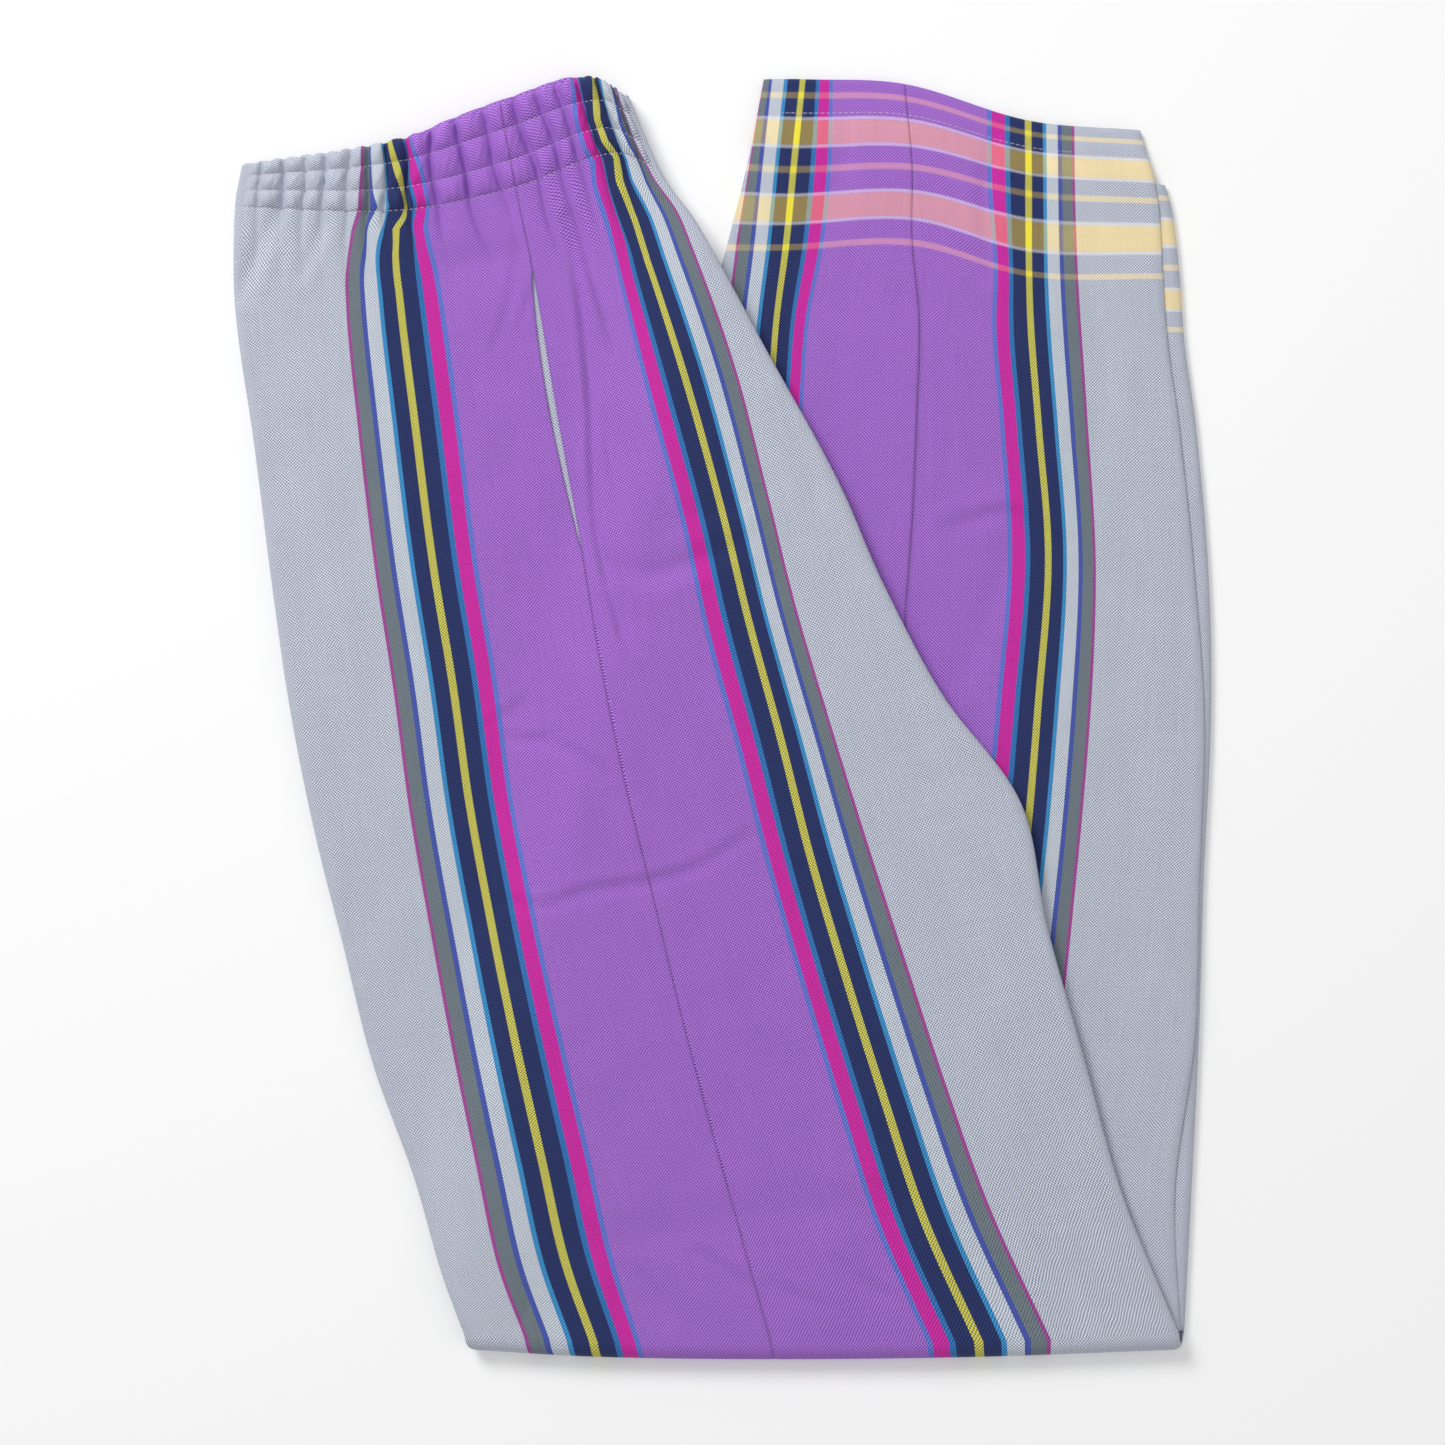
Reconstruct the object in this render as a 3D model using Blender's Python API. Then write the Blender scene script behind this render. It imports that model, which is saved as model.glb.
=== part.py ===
"""Kikoy trousers, folded flat: two legs laid side on side, the lower legs folded under at the knee.

Metres, +Z up. The origin is on the surface below the middle of the folded garment. +Y runs from
the knee fold towards the waist and hems. All tables and sizes below are in millimetres.
"""

import math
from collections import namedtuple

import bmesh
import bpy
from mathutils import Vector

MM = 0.001

# Cloth and seams
WALL = 1.2            # cloth wall
GAP = 0.3             # air between neighbouring pieces
HEM_WIDTH = 13.0      # turned hem, edge to stitching
HEM_SHIFT = 27.0      # the lower leg's hem lies this far short of the upper one's
CASING_WALL = 2.6     # waist casing, cloth turned over its elastic

# Folded edges of the tubes: how far in the cloth starts to turn, and how far it drops
TURN_IN = 3.5
TURN_DROP = 2.2
RIGHT_TURN_DROP = 1.2

ROW_STEP = 20.0       # rows of points down the cloth

# Knee fold
FOLD_REACH = 7.0      # how far the roll stands out past the last flat section
LOWER_STACK = 5.8     # height of the folded-under stretch
REST_GAP = 0.4        # air between the two stretches

# Gathered waist casing: rows of stitching measured down from the waist edge
STITCH_ROWS = (0.0, 11.0, 24.0, 35.0)
GATHER_LIFT = 1.1
GATHER_FADE = 45.0    # gathers run out this far below the casing
# Valleys between the gathers, as shares of the width from the left edge
VALLEYS = (0.0, 0.05, 0.105, 0.155, 0.2, 0.26, 0.31, 0.355, 0.41, 0.475, 0.55, 0.62, 0.7, 0.755,
           0.8, 0.85, 0.9, 0.95, 1.0)

# Side pocket slit, measured down the seam from the waist edge
POCKET_TOP = 70.0
POCKET_END = 186.0
POCKET_OPEN = 3.6
FACING_WIDTH = 9.0
FACING_WALL = 1.0

# Sections across the upper stretch, waist to knee fold: the folded edges, the two yellow lines,
# the side seam and the height of the layers on a flat surface
Upper = namedtuple("Upper", "name left front_line seam back_line right height")
UPPER = (
    Upper("waist edge", (-197, 227), (-134, 237), (-91, 252), (-54, 263), (-38, 254), 10.6),
    Upper("casing seam", (-200, 207), (-133, 205), (-84, 214), (-44, 228), (-24, 222), 10.6),
    Upper("pocket top", (-200, 170), (-133, 179), (-78, 185), (-33, 195), (-10, 202), 9.8),
    Upper("pocket middle", (-192, 111), (-126, 119), (-68, 126), (-15, 139), (19, 149), 8.6),
    Upper("pocket end", (-185, 55), (-119, 64), (-58, 71), (0, 85), (47, 98), 7.8),
    Upper("hip", (-178, 6), (-111, 15), (-50, 24), (11, 40), (66, 55), 7.2),
    Upper("upper thigh", (-168, -45), (-104, -35), (-40, -25), (24, -8), (90, 10), 6.8),
    Upper("crotch", (-156, -93), (-95, -84), (-28, -74), (36, -56), (122, -34), 6.4),
    Upper("middle thigh", (-144, -141), (-85, -132), (-16, -124), (51, -107), (133, -85), 6.0),
    Upper("lower thigh", (-127, -188), (-74, -181), (-3, -173), (67, -158), (149, -142), 5.6),
    Upper("above knee", (-116, -225), (-65, -221), (9, -216), (83, -206), (164, -195), 5.2),
    Upper("fold start", (-106, -252), (-53, -255), (20, -256), (105, -255), (187, -252), 5.0),
)

# Sections across the folded-under stretch, knee fold to hem. The upper tube is the right leg, and
# the tube below it reaches out to outer_right.
Lower = namedtuple("Lower", "name left front_line seam back_line right outer_right")
LOWER = (
    Lower("fold start", (-103, -252), (-49, -255), (23, -256), (107, -255), (188, -252), (190, -252)),
    Lower("below knee", (-90, -197), (-34, -197), (28, -195), (99, -193), (186, -193), (193, -193)),
    Lower("upper calf", (-74, -132), (-21, -132), (44, -130), (114, -130), (194, -132), (196, -132)),
    Lower("calf", (-57, -57), (-8, -58), (60, -58), (124, -60), (196, -66), (198, -66)),
    Lower("middle calf", (-42, 8), (3, 8), (71, 8), (130, 8), (198, 1), (201, 1)),
    Lower("lower calf", (-29, 65), (12, 65), (77, 65), (134, 65), (194, 59), (200, 59)),
    Lower("shin", (-16, 122), (19, 124), (80, 124), (130, 120), (188, 118), (195, 118)),
    Lower("ankle", (-7, 161), (22, 163), (81, 163), (127, 157), (183, 155), (190, 155)),
    Lower("last stripe", (2, 195), (26, 195), (78, 197), (126, 184), (181, 183), (188, 183)),
    Lower("second stripe", (10, 227), (29, 226), (78, 227), (126, 216), (179, 213), (184, 213)),
    Lower("hem edge", (17, 263), (33, 263), (75, 261), (126, 246), (172, 242), (173, 242)),
)

# Straight left edge of the folded-under stretch, hidden below the upper one
EDGE_FOOT = (-104.0, -259.0)
EDGE_SLOPE = 0.2335
STEP_TOP = (-44.0, -4.0)       # where the upper face climbs over that edge
STEP_BELOW = (-30.0, -13.0)    # where the hidden layers' underside does

# Largest soft troughs in the upper face: two ends, depth and half width
Trough = namedtuple("Trough", "name start end depth width")
UPPER_TROUGHS = (
    Trough("beside pocket", (-62, 225), (-49, 110), 1.3, 9.0),
    Trough("below pocket", (-49, 110), (-36, 32), 1.1, 9.0),
    Trough("across hip", (-6, 75), (-42, 48), 1.0, 8.0),
    Trough("left of pocket", (-96, -1), (-60, -16), 0.8, 8.0),
    Trough("long thigh", (-90, -76), (6, -50), 0.9, 9.0),
    Trough("field below casing", (-183, 207), (-198, 176), 0.9, 9.0),
    Trough("field slant", (-161, 200), (-171, 184), 0.8, 8.0),
    Trough("above fold left", (-30, -228), (-12, -246), 0.7, 9.0),
    Trough("above fold right", (60, -222), (88, -240), 0.7, 9.0),
)
LOWER_TROUGHS = (
    Trough("hem drop", (110, 222), (112, 180), 0.8, 8.0),
    Trough("ankle kink", (92, 76), (120, 66), 0.8, 8.0),
    Trough("knee corner", (150, -200), (186, -236), 0.5, 9.0),
)

# Rounded edges of the hidden layers: share of the height from the top, and how far they stand in
UPPER_EDGE = ((0.04, 1.9), (0.24, 0.7), (0.48, 2.0), (0.74, 1.0), (0.97, 2.4))
LOWER_EDGE = ((0.05, 1.8), (0.2, 0.5), (0.34, 0.6), (0.5, 2.0), (0.97, 2.6))
LOWER_CORE_DROP = 1.9


def ease(value, low, high):
    """Smooth step from 0 at low to 1 at high."""
    share = min(max((value - low) / (high - low), 0.0), 1.0)
    return share * share * (3.0 - 2.0 * share)


def knots_of(points):
    """Running length along a list of vectors."""
    knots = [0.0]
    for before, after in zip(points, points[1:]):
        knots.append(knots[-1] + (after - before).length)
    return knots


def smooth_at(points, knots, where):
    """Point of the smooth curve through the points, at a running length."""
    last = len(knots) - 1
    index = 0
    while index < last - 1 and where > knots[index + 1]:
        index += 1
    span = knots[index + 1] - knots[index]
    share = (where - knots[index]) / span

    def slope(at):
        low = max(at - 1, 0)
        high = min(at + 1, last)
        return (points[high] - points[low]) / (knots[high] - knots[low])

    start = points[index]
    end = points[index + 1]
    square = share * share
    cube = square * share
    return (start * (2 * cube - 3 * square + 1) + slope(index) * span * (cube - 2 * square + share)
            + end * (3 * square - 2 * cube) + slope(index + 1) * span * (cube - square))


class Stretch:
    """One flat stretch of the trousers, from its table of sections."""

    def __init__(self, sections, columns, heights):
        self.sections = sections
        self.lines = [[Vector(getattr(row, name)) for row in sections] for name in columns]
        self.knots = knots_of(self.lines[2])
        self.length = self.knots[-1]
        self.heights = [Vector((height, 0.0)) for height in heights]

    def section(self, along):
        """The five points of the section at this distance along the seam."""
        return [smooth_at(line, self.knots, along) for line in self.lines]

    def height(self, along):
        """Height of the layers of this stretch."""
        return smooth_at(self.heights, self.knots, along).x


UPPER_STRETCH = Stretch(UPPER, ("left", "front_line", "seam", "back_line", "right"),
                        [row.height for row in UPPER])
RIGHT_LEG = Stretch(LOWER, ("left", "front_line", "seam", "back_line", "right"),
                    [LOWER_STACK] * len(LOWER))
LEFT_LEG_BELOW = Stretch(LOWER, ("left", "front_line", "seam", "back_line", "outer_right"),
                         [0.0] * len(LOWER))
LEFT_HEM_AT = LEFT_LEG_BELOW.length - HEM_SHIFT


def trough_depth(troughs, spot):
    """Depth of the soft troughs at a place on the cloth."""
    total = 0.0
    for trough in troughs:
        start = Vector(trough.start)
        run = Vector(trough.end) - start
        share = (spot - start).dot(run) / run.length_squared
        nearest = start + run * min(max(share, 0.0), 1.0)
        away = (spot - nearest).length / trough.width
        total += trough.depth * math.exp(-away * away)
    return total


def past_edge(spot):
    """Distance to the right of the folded-under stretch's left edge."""
    return spot.x - (EDGE_FOOT[0] + (spot.y - EDGE_FOOT[1]) * EDGE_SLOPE)


def upper_face(spot, along):
    """Height of the upper face, without gathers."""
    climb = (LOWER_STACK + REST_GAP) * ease(past_edge(spot), *STEP_TOP)
    flat_again = ease(along, UPPER_STRETCH.length, UPPER_STRETCH.length - 25.0)
    swell = 0.25 * math.sin(spot.x / 31.0) * math.sin(spot.y / 43.0 + 0.8)
    return (UPPER_STRETCH.height(along) + climb
            + flat_again * (swell - trough_depth(UPPER_TROUGHS, spot)))


def right_leg_base(spot, along):
    """Height of the folded-under stretch without troughs: it comes down past the lower leg's hem."""
    return LOWER_STACK - 2.9 * ease(along, LEFT_HEM_AT, LEFT_HEM_AT + 25.0)


def right_leg_face(spot, along):
    """Height of the right leg's upper face."""
    shown = ease(along, 0.0, 20.0) * ease(along, LEFT_HEM_AT + HEM_WIDTH, LEFT_HEM_AT - HEM_WIDTH)
    return right_leg_base(spot, along) - shown * trough_depth(LOWER_TROUGHS, spot)


FOLD_HEIGHT = UPPER_STRETCH.height(UPPER_STRETCH.length) + LOWER_STACK + REST_GAP

# A row of cloth points: its section, where it lies along the stretch, its turn round the fold
# (0 on top, pi below) and the face that gives its height
Row = namedtuple("Row", "points along turn face")

# A column: knot 0 left edge, 1 front line, 2 seam, 3 back line, 4 right edge; lip turns it over
# that edge, in degrees, and shift moves it sideways
Column = namedtuple("Column", "knot lip shift", defaults=(0.0, 0.0))


def upper_row(along):
    """Row on the upper face."""
    return Row(UPPER_STRETCH.section(along), along, 0.0, upper_face)


def fold_row(turn):
    """Row round the knee fold."""
    share = turn / math.pi
    start = UPPER_STRETCH.section(UPPER_STRETCH.length)
    end = LEFT_LEG_BELOW.section(0.0)
    return Row([a.lerp(b, share) for a, b in zip(start, end)], 0.0, turn, None)


def below_row(along):
    """Row on the underside."""
    return Row(LEFT_LEG_BELOW.section(along), along, math.pi, None)


def right_row(along):
    """Row on the right leg's folded-under stretch."""
    return Row(RIGHT_LEG.section(along), along, 0.0, right_leg_face)


def cloth_point(row, column, depth=0.0, drop=TURN_DROP):
    """Point of the cloth, this deep below its outer face."""
    knots = knots_of(row.points)
    lip = math.radians(column.lip)
    inset = TURN_IN - (TURN_IN - depth) * math.sin(lip)
    sink = depth + max(drop - depth, 0.4) * (1.0 - math.cos(lip))
    flat = [inset, knots[1], knots[2], knots[3], knots[-1] - inset]
    whole = min(int(column.knot), 3)
    where = flat[whole] + (column.knot - whole) * (flat[whole + 1] - flat[whole]) + column.shift
    spot = smooth_at(row.points, knots, where)
    if row.turn == 0.0:
        return Vector((spot.x, spot.y, row.face(spot, row.along) - sink))
    out = FOLD_REACH * math.sin(row.turn)
    level = FOLD_HEIGHT * 0.5 * (1.0 + math.cos(row.turn))
    normal = Vector((0.0, -math.sin(row.turn) / FOLD_REACH, math.cos(row.turn) * 2.0 / FOLD_HEIGHT))
    return Vector((spot.x, spot.y - out, level)) - normal.normalized() * sink


def gather(row, column, along):
    """Lift of the waist gathers, from -1 in a valley: broad crests, tight valleys, uneven widths."""
    knots = knots_of(row.points)
    whole = min(int(column.knot), 3)
    where = knots[whole] + (column.knot - whole) * (knots[whole + 1] - knots[whole])
    share = min(max(where / knots[-1], 0.0), 1.0)
    lean = 0.012 * math.sin(along / 19.0 + 7.0 * share) * math.sin(math.pi * share)
    for low, high in zip(VALLEYS, VALLEYS[1:]):
        if low <= share + lean <= high:
            swell = math.sin(math.pi * (share + lean - low) / (high - low))
            return 2.0 * swell ** 0.7 - 1.0
    return -1.0


def channel_puff(along):
    """Rise of the casing between its rows of stitching, from 0 to 1."""
    for above, below in zip(STITCH_ROWS, STITCH_ROWS[1:]):
        if above <= along <= below:
            return math.sin(math.pi * (along - above) / (below - above))
    return 0.0


def zip_rows(mesh, first, second, flip=False):
    """Triangles between two rows of points, which may differ in number; flip turns them over."""
    def face(*corners):
        mesh.faces.new(tuple(reversed(corners)) if flip else corners)

    def shares(row):
        knots = knots_of([vert.co for vert in row])
        return [knot / knots[-1] for knot in knots]

    if len(first) == len(second):
        for index in range(len(first) - 1):
            face(first[index], second[index], second[index + 1])
            face(first[index], second[index + 1], first[index + 1])
        return
    share_a = shares(first)
    share_b = shares(second)
    a = 0
    b = 0
    while a < len(first) - 1 or b < len(second) - 1:
        if b == len(second) - 1 or (a < len(first) - 1 and share_a[a + 1] <= share_b[b + 1]):
            face(first[a], second[b], first[a + 1])
            a += 1
        else:
            face(first[a], second[b], second[b + 1])
            b += 1


def shell(outer, inner):
    """Closed wall between an outer and an inner grid of points."""
    mesh = bmesh.new()
    out_rows = [[mesh.verts.new(point * MM) for point in row] for row in outer]
    in_rows = [[mesh.verts.new(point * MM) for point in row] for row in inner]
    for before, after in zip(out_rows, out_rows[1:]):
        zip_rows(mesh, before, after)
    for before, after in zip(in_rows, in_rows[1:]):
        zip_rows(mesh, before, after, flip=True)
    zip_rows(mesh, in_rows[0], out_rows[0])
    zip_rows(mesh, out_rows[-1], in_rows[-1])
    zip_rows(mesh, [row[0] for row in out_rows], [row[0] for row in in_rows])
    zip_rows(mesh, [row[-1] for row in in_rows], [row[-1] for row in out_rows])
    return mesh


def tube(rings):
    """Closed solid through rings of equal number, capped at both ends."""
    mesh = bmesh.new()
    loops = [[mesh.verts.new(point * MM) for point in ring] for ring in rings]
    count = len(loops[0])
    for before, after in zip(loops, loops[1:]):
        for index in range(count):
            after_index = (index + 1) % count
            mesh.faces.new((before[index], after[index], after[after_index]))
            mesh.faces.new((before[index], after[after_index], before[after_index]))
    for loop in (loops[0], loops[-1]):
        half = count // 2
        for index in range(half - 1):
            corners = [loop[index], loop[index + 1], loop[count - 2 - index], loop[count - 1 - index]]
            seen = []
            for corner in corners:
                if corner not in seen:
                    seen.append(corner)
            mesh.faces.new(seen)
    return mesh


def place(name, mesh, colour, roughness=0.85):
    """Object with its own cloth material."""
    bmesh.ops.triangulate(mesh, faces=list(mesh.faces))
    bmesh.ops.recalc_face_normals(mesh, faces=list(mesh.faces))
    data = bpy.data.meshes.new(name)
    mesh.to_mesh(data)
    mesh.free()
    data.shade_smooth()
    data.set_sharp_from_angle(angle=math.radians(50.0))
    material = bpy.data.materials.new(name + "_cloth")
    material.use_nodes = True
    shader = material.node_tree.nodes["Principled BSDF"]
    shader.inputs["Base Color"].default_value = (*colour, 1.0)
    shader.inputs["Roughness"].default_value = roughness
    shader.inputs["Metallic"].default_value = 0.0
    data.materials.append(material)
    item = bpy.data.objects.new(name, data)
    bpy.context.scene.collection.objects.link(item)
    return item


def spread(low, high, step):
    """Even places from low to high, no further apart than step."""
    count = max(1, math.ceil((high - low) / step))
    return [low + (high - low) * index / count for index in range(count + 1)]


# Cloth colours, linear
PALE = (0.54, 0.58, 0.66)
PURPLE = (0.38, 0.15, 0.60)
CREAM = (0.86, 0.78, 0.44)
GREY_BLUE = (0.40, 0.44, 0.52)

LIPS = (90.0, 60.0, 30.0)
FIELD_KNOTS = (0.0, 0.25, 0.5, 0.75)
BAND_KNOTS = (1.0, 1.25, 1.5, 1.75)


def front_columns(shift=0.0):
    """Columns of a front panel, left edge to side seam."""
    lips = [Column(0.0, lip) for lip in LIPS]
    flats = [Column(knot) for knot in FIELD_KNOTS + BAND_KNOTS]
    return lips + flats + [Column(2.0, 0.0, -GAP * 0.5 - shift)]


def back_columns():
    """Columns of a back panel, side seam to right edge."""
    lips = [Column(4.0, lip) for lip in reversed(LIPS)]
    flats = [Column(4.0 - knot) for knot in reversed(FIELD_KNOTS + BAND_KNOTS)]
    return [Column(2.0, 0.0, GAP * 0.5)] + flats + lips


def fine_columns(low, high, count):
    """Columns close enough for gathers, without the turned edges."""
    return [Column(low + (high - low) * index / count) for index in range(count + 1)]


def gathered_row(row, columns, along, strength):
    """Row of outer points lifted by the gathers."""
    points = []
    for column in columns:
        point = cloth_point(row, column)
        edge = min(column.knot, 4.0 - column.knot) / 0.1
        point.z += GATHER_LIFT * strength * gather(row, column, along) * min(edge, 1.0)
        points.append(point)
    return points


def gathered_columns(front):
    """Columns of a gathered half of the waist, with its turned edge."""
    if front:
        lips = [Column(0.0, lip) for lip in LIPS]
        return lips + fine_columns(0.0, 1.98, 56)[:-1] + [Column(2.0, 0.0, -GAP * 0.5)]
    lips = [Column(4.0, lip) for lip in reversed(LIPS)]
    return [Column(2.0, 0.0, GAP * 0.5)] + fine_columns(2.02, 4.0, 30)[1:] + lips


def waist_casing(front):
    """Half of the waist casing: three gathered channels over elastic."""
    columns = gathered_columns(front)
    plain = front_columns() if front else back_columns()
    outer = []
    for low, high in zip(STITCH_ROWS, STITCH_ROWS[1:]):
        for share in (0.0, 0.3, 0.7):
            outer.append(low + (high - low) * share)
    outer.append(STITCH_ROWS[-1] - GAP)
    places = (0.6, 12.0, 24.0, STITCH_ROWS[-1] - 1.0)
    rows = []
    for along in outer:
        puff = channel_puff(along)
        row = upper_row(along)
        points = gathered_row(row, columns, along, 0.35 + 0.65 * puff)
        for point in points:
            point.z += 0.8 * puff
            if along == 0.0:
                point.y += 0.5 * math.sin(point.x / 2.3)
        rows.append(points)
    inner = []
    for along in places:
        inner.append([cloth_point(upper_row(along), column, CASING_WALL * 0.8) for column in plain])
    return shell(rows, inner)


def far_casing():
    """Far side of the waist casing, which shows above the near side's edge."""
    columns = fine_columns(0.04, 3.96, 54)
    outer = []
    for along in (-1.2, 2.0, 11.0, 17.0, 24.0, 34.0):
        row = upper_row(max(along, 0.0))
        points = []
        for column in columns:
            point = cloth_point(row, column, CASING_WALL + 0.9)
            peep = ease(point.x, -125.0, -112.0) * ease(point.x, -55.0, -68.0)
            point.z += 0.35 * gather(row, Column(column.knot + 0.07), along) - 0.2
            point.y += 1.3 * peep if along < 0.0 else 0.0
            points.append(point)
        outer.append(points)
    inner = []
    for along in (0.0, 17.0, 34.0):
        row = upper_row(along)
        inner.append([cloth_point(row, column, CASING_WALL + 3.2)
                      for column in fine_columns(0.04, 3.96, 12)])
    return shell(outer, inner)


def upper_places():
    """Places of the rows down the upper stretch, below the gathers."""
    return spread(POCKET_TOP, UPPER_STRETCH.length, ROW_STEP)


def below_places():
    """Places of the rows on the underside, which is plain."""
    return spread(0.0, LEFT_HEM_AT - HEM_WIDTH - 8.0, 1.7 * ROW_STEP)


def slit(along):
    """How far the pocket slit stands open here."""
    if not POCKET_TOP < along < POCKET_END:
        return 0.0
    share = (along - POCKET_TOP) / (POCKET_END - POCKET_TOP)
    return POCKET_OPEN * math.sin(math.pi * share) ** 0.6 * (1.0 - 0.35 * share)


def left_leg_rows(front):
    """Outer and inner rows of a left leg panel: over the top, round the fold and back below."""
    start = STITCH_ROWS[-1]
    hem = LEFT_HEM_AT - HEM_WIDTH - GAP * 0.5
    fine = gathered_columns(front)
    outer = []
    inner = []

    def plain(along):
        return front_columns(slit(along)) if front else back_columns()

    for along, inside, depth in ((start, start + 0.6, 1.9), (start + 9.0, start + 9.0, 1.8),
                                 (start + 22.0, start + 22.0, 1.5)):
        strength = 0.75 * ease(along, start + GATHER_FADE, start - 15.0)
        outer.append(gathered_row(upper_row(along), fine, along, strength))
        inner.append([cloth_point(upper_row(inside), column, depth) for column in plain(along)])
    for along in upper_places():
        row = upper_row(along)
        outer.append([cloth_point(row, column) for column in plain(along)])
        inner.append([cloth_point(row, column, WALL) for column in plain(along)])
    for turn in (22, 45, 68, 90, 112, 135, 158):
        row = fold_row(math.radians(turn))
        outer.append([cloth_point(row, column) for column in plain(0.0)])
        inner.append([cloth_point(row, column, WALL) for column in plain(0.0)])
    for along in below_places() + [hem]:
        row = below_row(along)
        outer.append([cloth_point(row, column) for column in plain(0.0)])
        inner.append([cloth_point(row, column, WALL) for column in plain(0.0)])
    return outer, inner


def hem_rows(make_row, end, front, drop, wall):
    """Turned hem, from its stitching to the edge."""
    columns = front_columns() if front else back_columns()
    outer = []
    inner = []
    for along in (end - HEM_WIDTH + GAP * 0.5, end - HEM_WIDTH * 0.5, end - 0.8, end):
        tuck = 0.35 if along == end else 0.0
        row = make_row(along)
        outer.append([cloth_point(row, column, tuck, drop) for column in columns])
        inner.append([cloth_point(row, column, wall - tuck, drop) for column in columns])
    return outer, inner


def right_leg_places():
    """Places of the rows along the folded-under stretch, closer where it steps down at the hem."""
    hem = RIGHT_LEG.length - HEM_WIDTH - GAP * 0.5
    return spread(0.5, LEFT_HEM_AT + 1.0, ROW_STEP) + [LEFT_HEM_AT + 7.0, hem]


def right_leg_rows(front):
    """Right leg panel from the knee fold to its hem's stitching."""
    columns = front_columns() if front else back_columns()
    outer = []
    inner = []
    for along in right_leg_places():
        row = right_row(along)
        outer.append([cloth_point(row, column, 0.0, RIGHT_TURN_DROP) for column in columns])
        inner.append([cloth_point(row, column, WALL, RIGHT_TURN_DROP) for column in columns])
    return outer, inner


def pocket_facing():
    """Pale facing that shows in the pocket slit."""
    depth = WALL + 1.5 * GAP
    outer = []
    inner = []
    for along in [place for place in upper_places() if place < POCKET_END + ROW_STEP]:
        row = upper_row(along)
        columns = [Column(2.0, 0.0, FACING_WIDTH * (share - 0.65)) for share in (0.0, 0.35, 0.7, 1.0)]
        outer.append([cloth_point(row, column, depth) for column in columns])
        inner.append([cloth_point(row, column, depth + FACING_WALL) for column in columns])
    return shell(outer, inner)


def core_ring(row, columns, top_depth, low_level, drop, edge):
    """Ring of a hidden-layer solid: top, layered right edge, underside, layered left edge."""
    top = [cloth_point(row, column, top_depth(row, column), drop) for column in columns]
    left_top = top[0]
    right_top = top[-1]
    left_low = low_level(left_top)
    right_low = low_level(right_top)
    across = (row.points[4] - row.points[0]).normalized()
    right = []
    left = []
    for share, inset in edge:
        push = (TURN_IN * 0.43 - inset) * across
        level = right_top.z + (right_low - right_top.z) * share
        right.append(Vector((right_top.x + push.x, right_top.y + push.y, level)))
        level = left_top.z + (left_low - left_top.z) * share
        left.append(Vector((left_top.x - push.x, left_top.y - push.y, level)))
    turned = sum(1 for column in columns if column.lip > 0.0) // 2
    under = [Vector((point.x, point.y, low_level(point))) for point in top[turned:-turned]]
    return top + right + list(reversed(under)) + list(reversed(left))


def hidden_layers_upper():
    """Hidden layers of the upper stretch: the left leg's under side and the right leg."""
    columns = front_columns()[:-1] + [Column(2.0)] + back_columns()[1:]
    climb = LOWER_STACK + REST_GAP

    def low_level(point):
        return climb * ease(past_edge(point), *STEP_BELOW)

    def top_depth(row, column):
        waist = 4.9 * ease(row.along, 64.0, 40.0)
        pocket = (FACING_WALL + 3.0 * GAP) * ease(row.along, 50.0, 64.0)
        pocket *= ease(row.along, POCKET_END + 2.0 * ROW_STEP, POCKET_END + ROW_STEP)
        middle = ease(abs(column.knot - 2.0), 1.0, 0.5)
        return WALL + GAP + waist + pocket * middle

    rings = []
    for along in [1.5, 4.0, 20.0, 35.6, 44.0, 57.0] + upper_places():
        rings.append(core_ring(upper_row(along), columns, top_depth, low_level, TURN_DROP, UPPER_EDGE))
    for turn in (35.0, 62.0):
        rings.append(core_ring(fold_row(math.radians(turn)), columns, lambda row, column: 2.2 * WALL,
                               lambda point: FOLD_HEIGHT * 0.5 + GAP, TURN_DROP, UPPER_EDGE))
    return tube(rings)


def hidden_layers_lower():
    """Hidden layers of the folded-under stretch: the facing sides of both legs."""
    flats = [Column(knot) for knot in (0.0, 0.5, 1.0, 1.5, 2.0, 2.5, 3.0, 3.5, 4.0)]
    columns = [Column(0.0, 90.0), Column(0.0, 45.0)] + flats + [Column(4.0, 45.0), Column(4.0, 90.0)]
    end = RIGHT_LEG.length

    def top_depth(row, column):
        return WALL + GAP + 0.8 * ease(row.along, LEFT_HEM_AT + 7.0, LEFT_HEM_AT)

    rings = []
    for along in [0.5] + below_places()[1:] + [LEFT_HEM_AT - HEM_WIDTH, LEFT_HEM_AT + 1.0,
                                               LEFT_HEM_AT + 7.0, end - HEM_WIDTH, end - 6.5, end - 1.5]:
        level = (WALL + GAP) * ease(along, LEFT_HEM_AT + 13.0, LEFT_HEM_AT + 1.5)
        share = ease(along, LEFT_HEM_AT - HEM_WIDTH, LEFT_HEM_AT)
        pairs = zip(LEFT_LEG_BELOW.section(along), RIGHT_LEG.section(along))
        row = Row([wide.lerp(narrow, share) for wide, narrow in pairs], along, 0.0, right_leg_base)
        rings.append(core_ring(row, columns, top_depth, lambda point: level, LOWER_CORE_DROP,
                               LOWER_EDGE))
    return tube(rings)


def clear_scene():
    """Start from an empty scene."""
    for item in list(bpy.data.objects):
        bpy.data.objects.remove(item, do_unlink=True)


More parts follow.
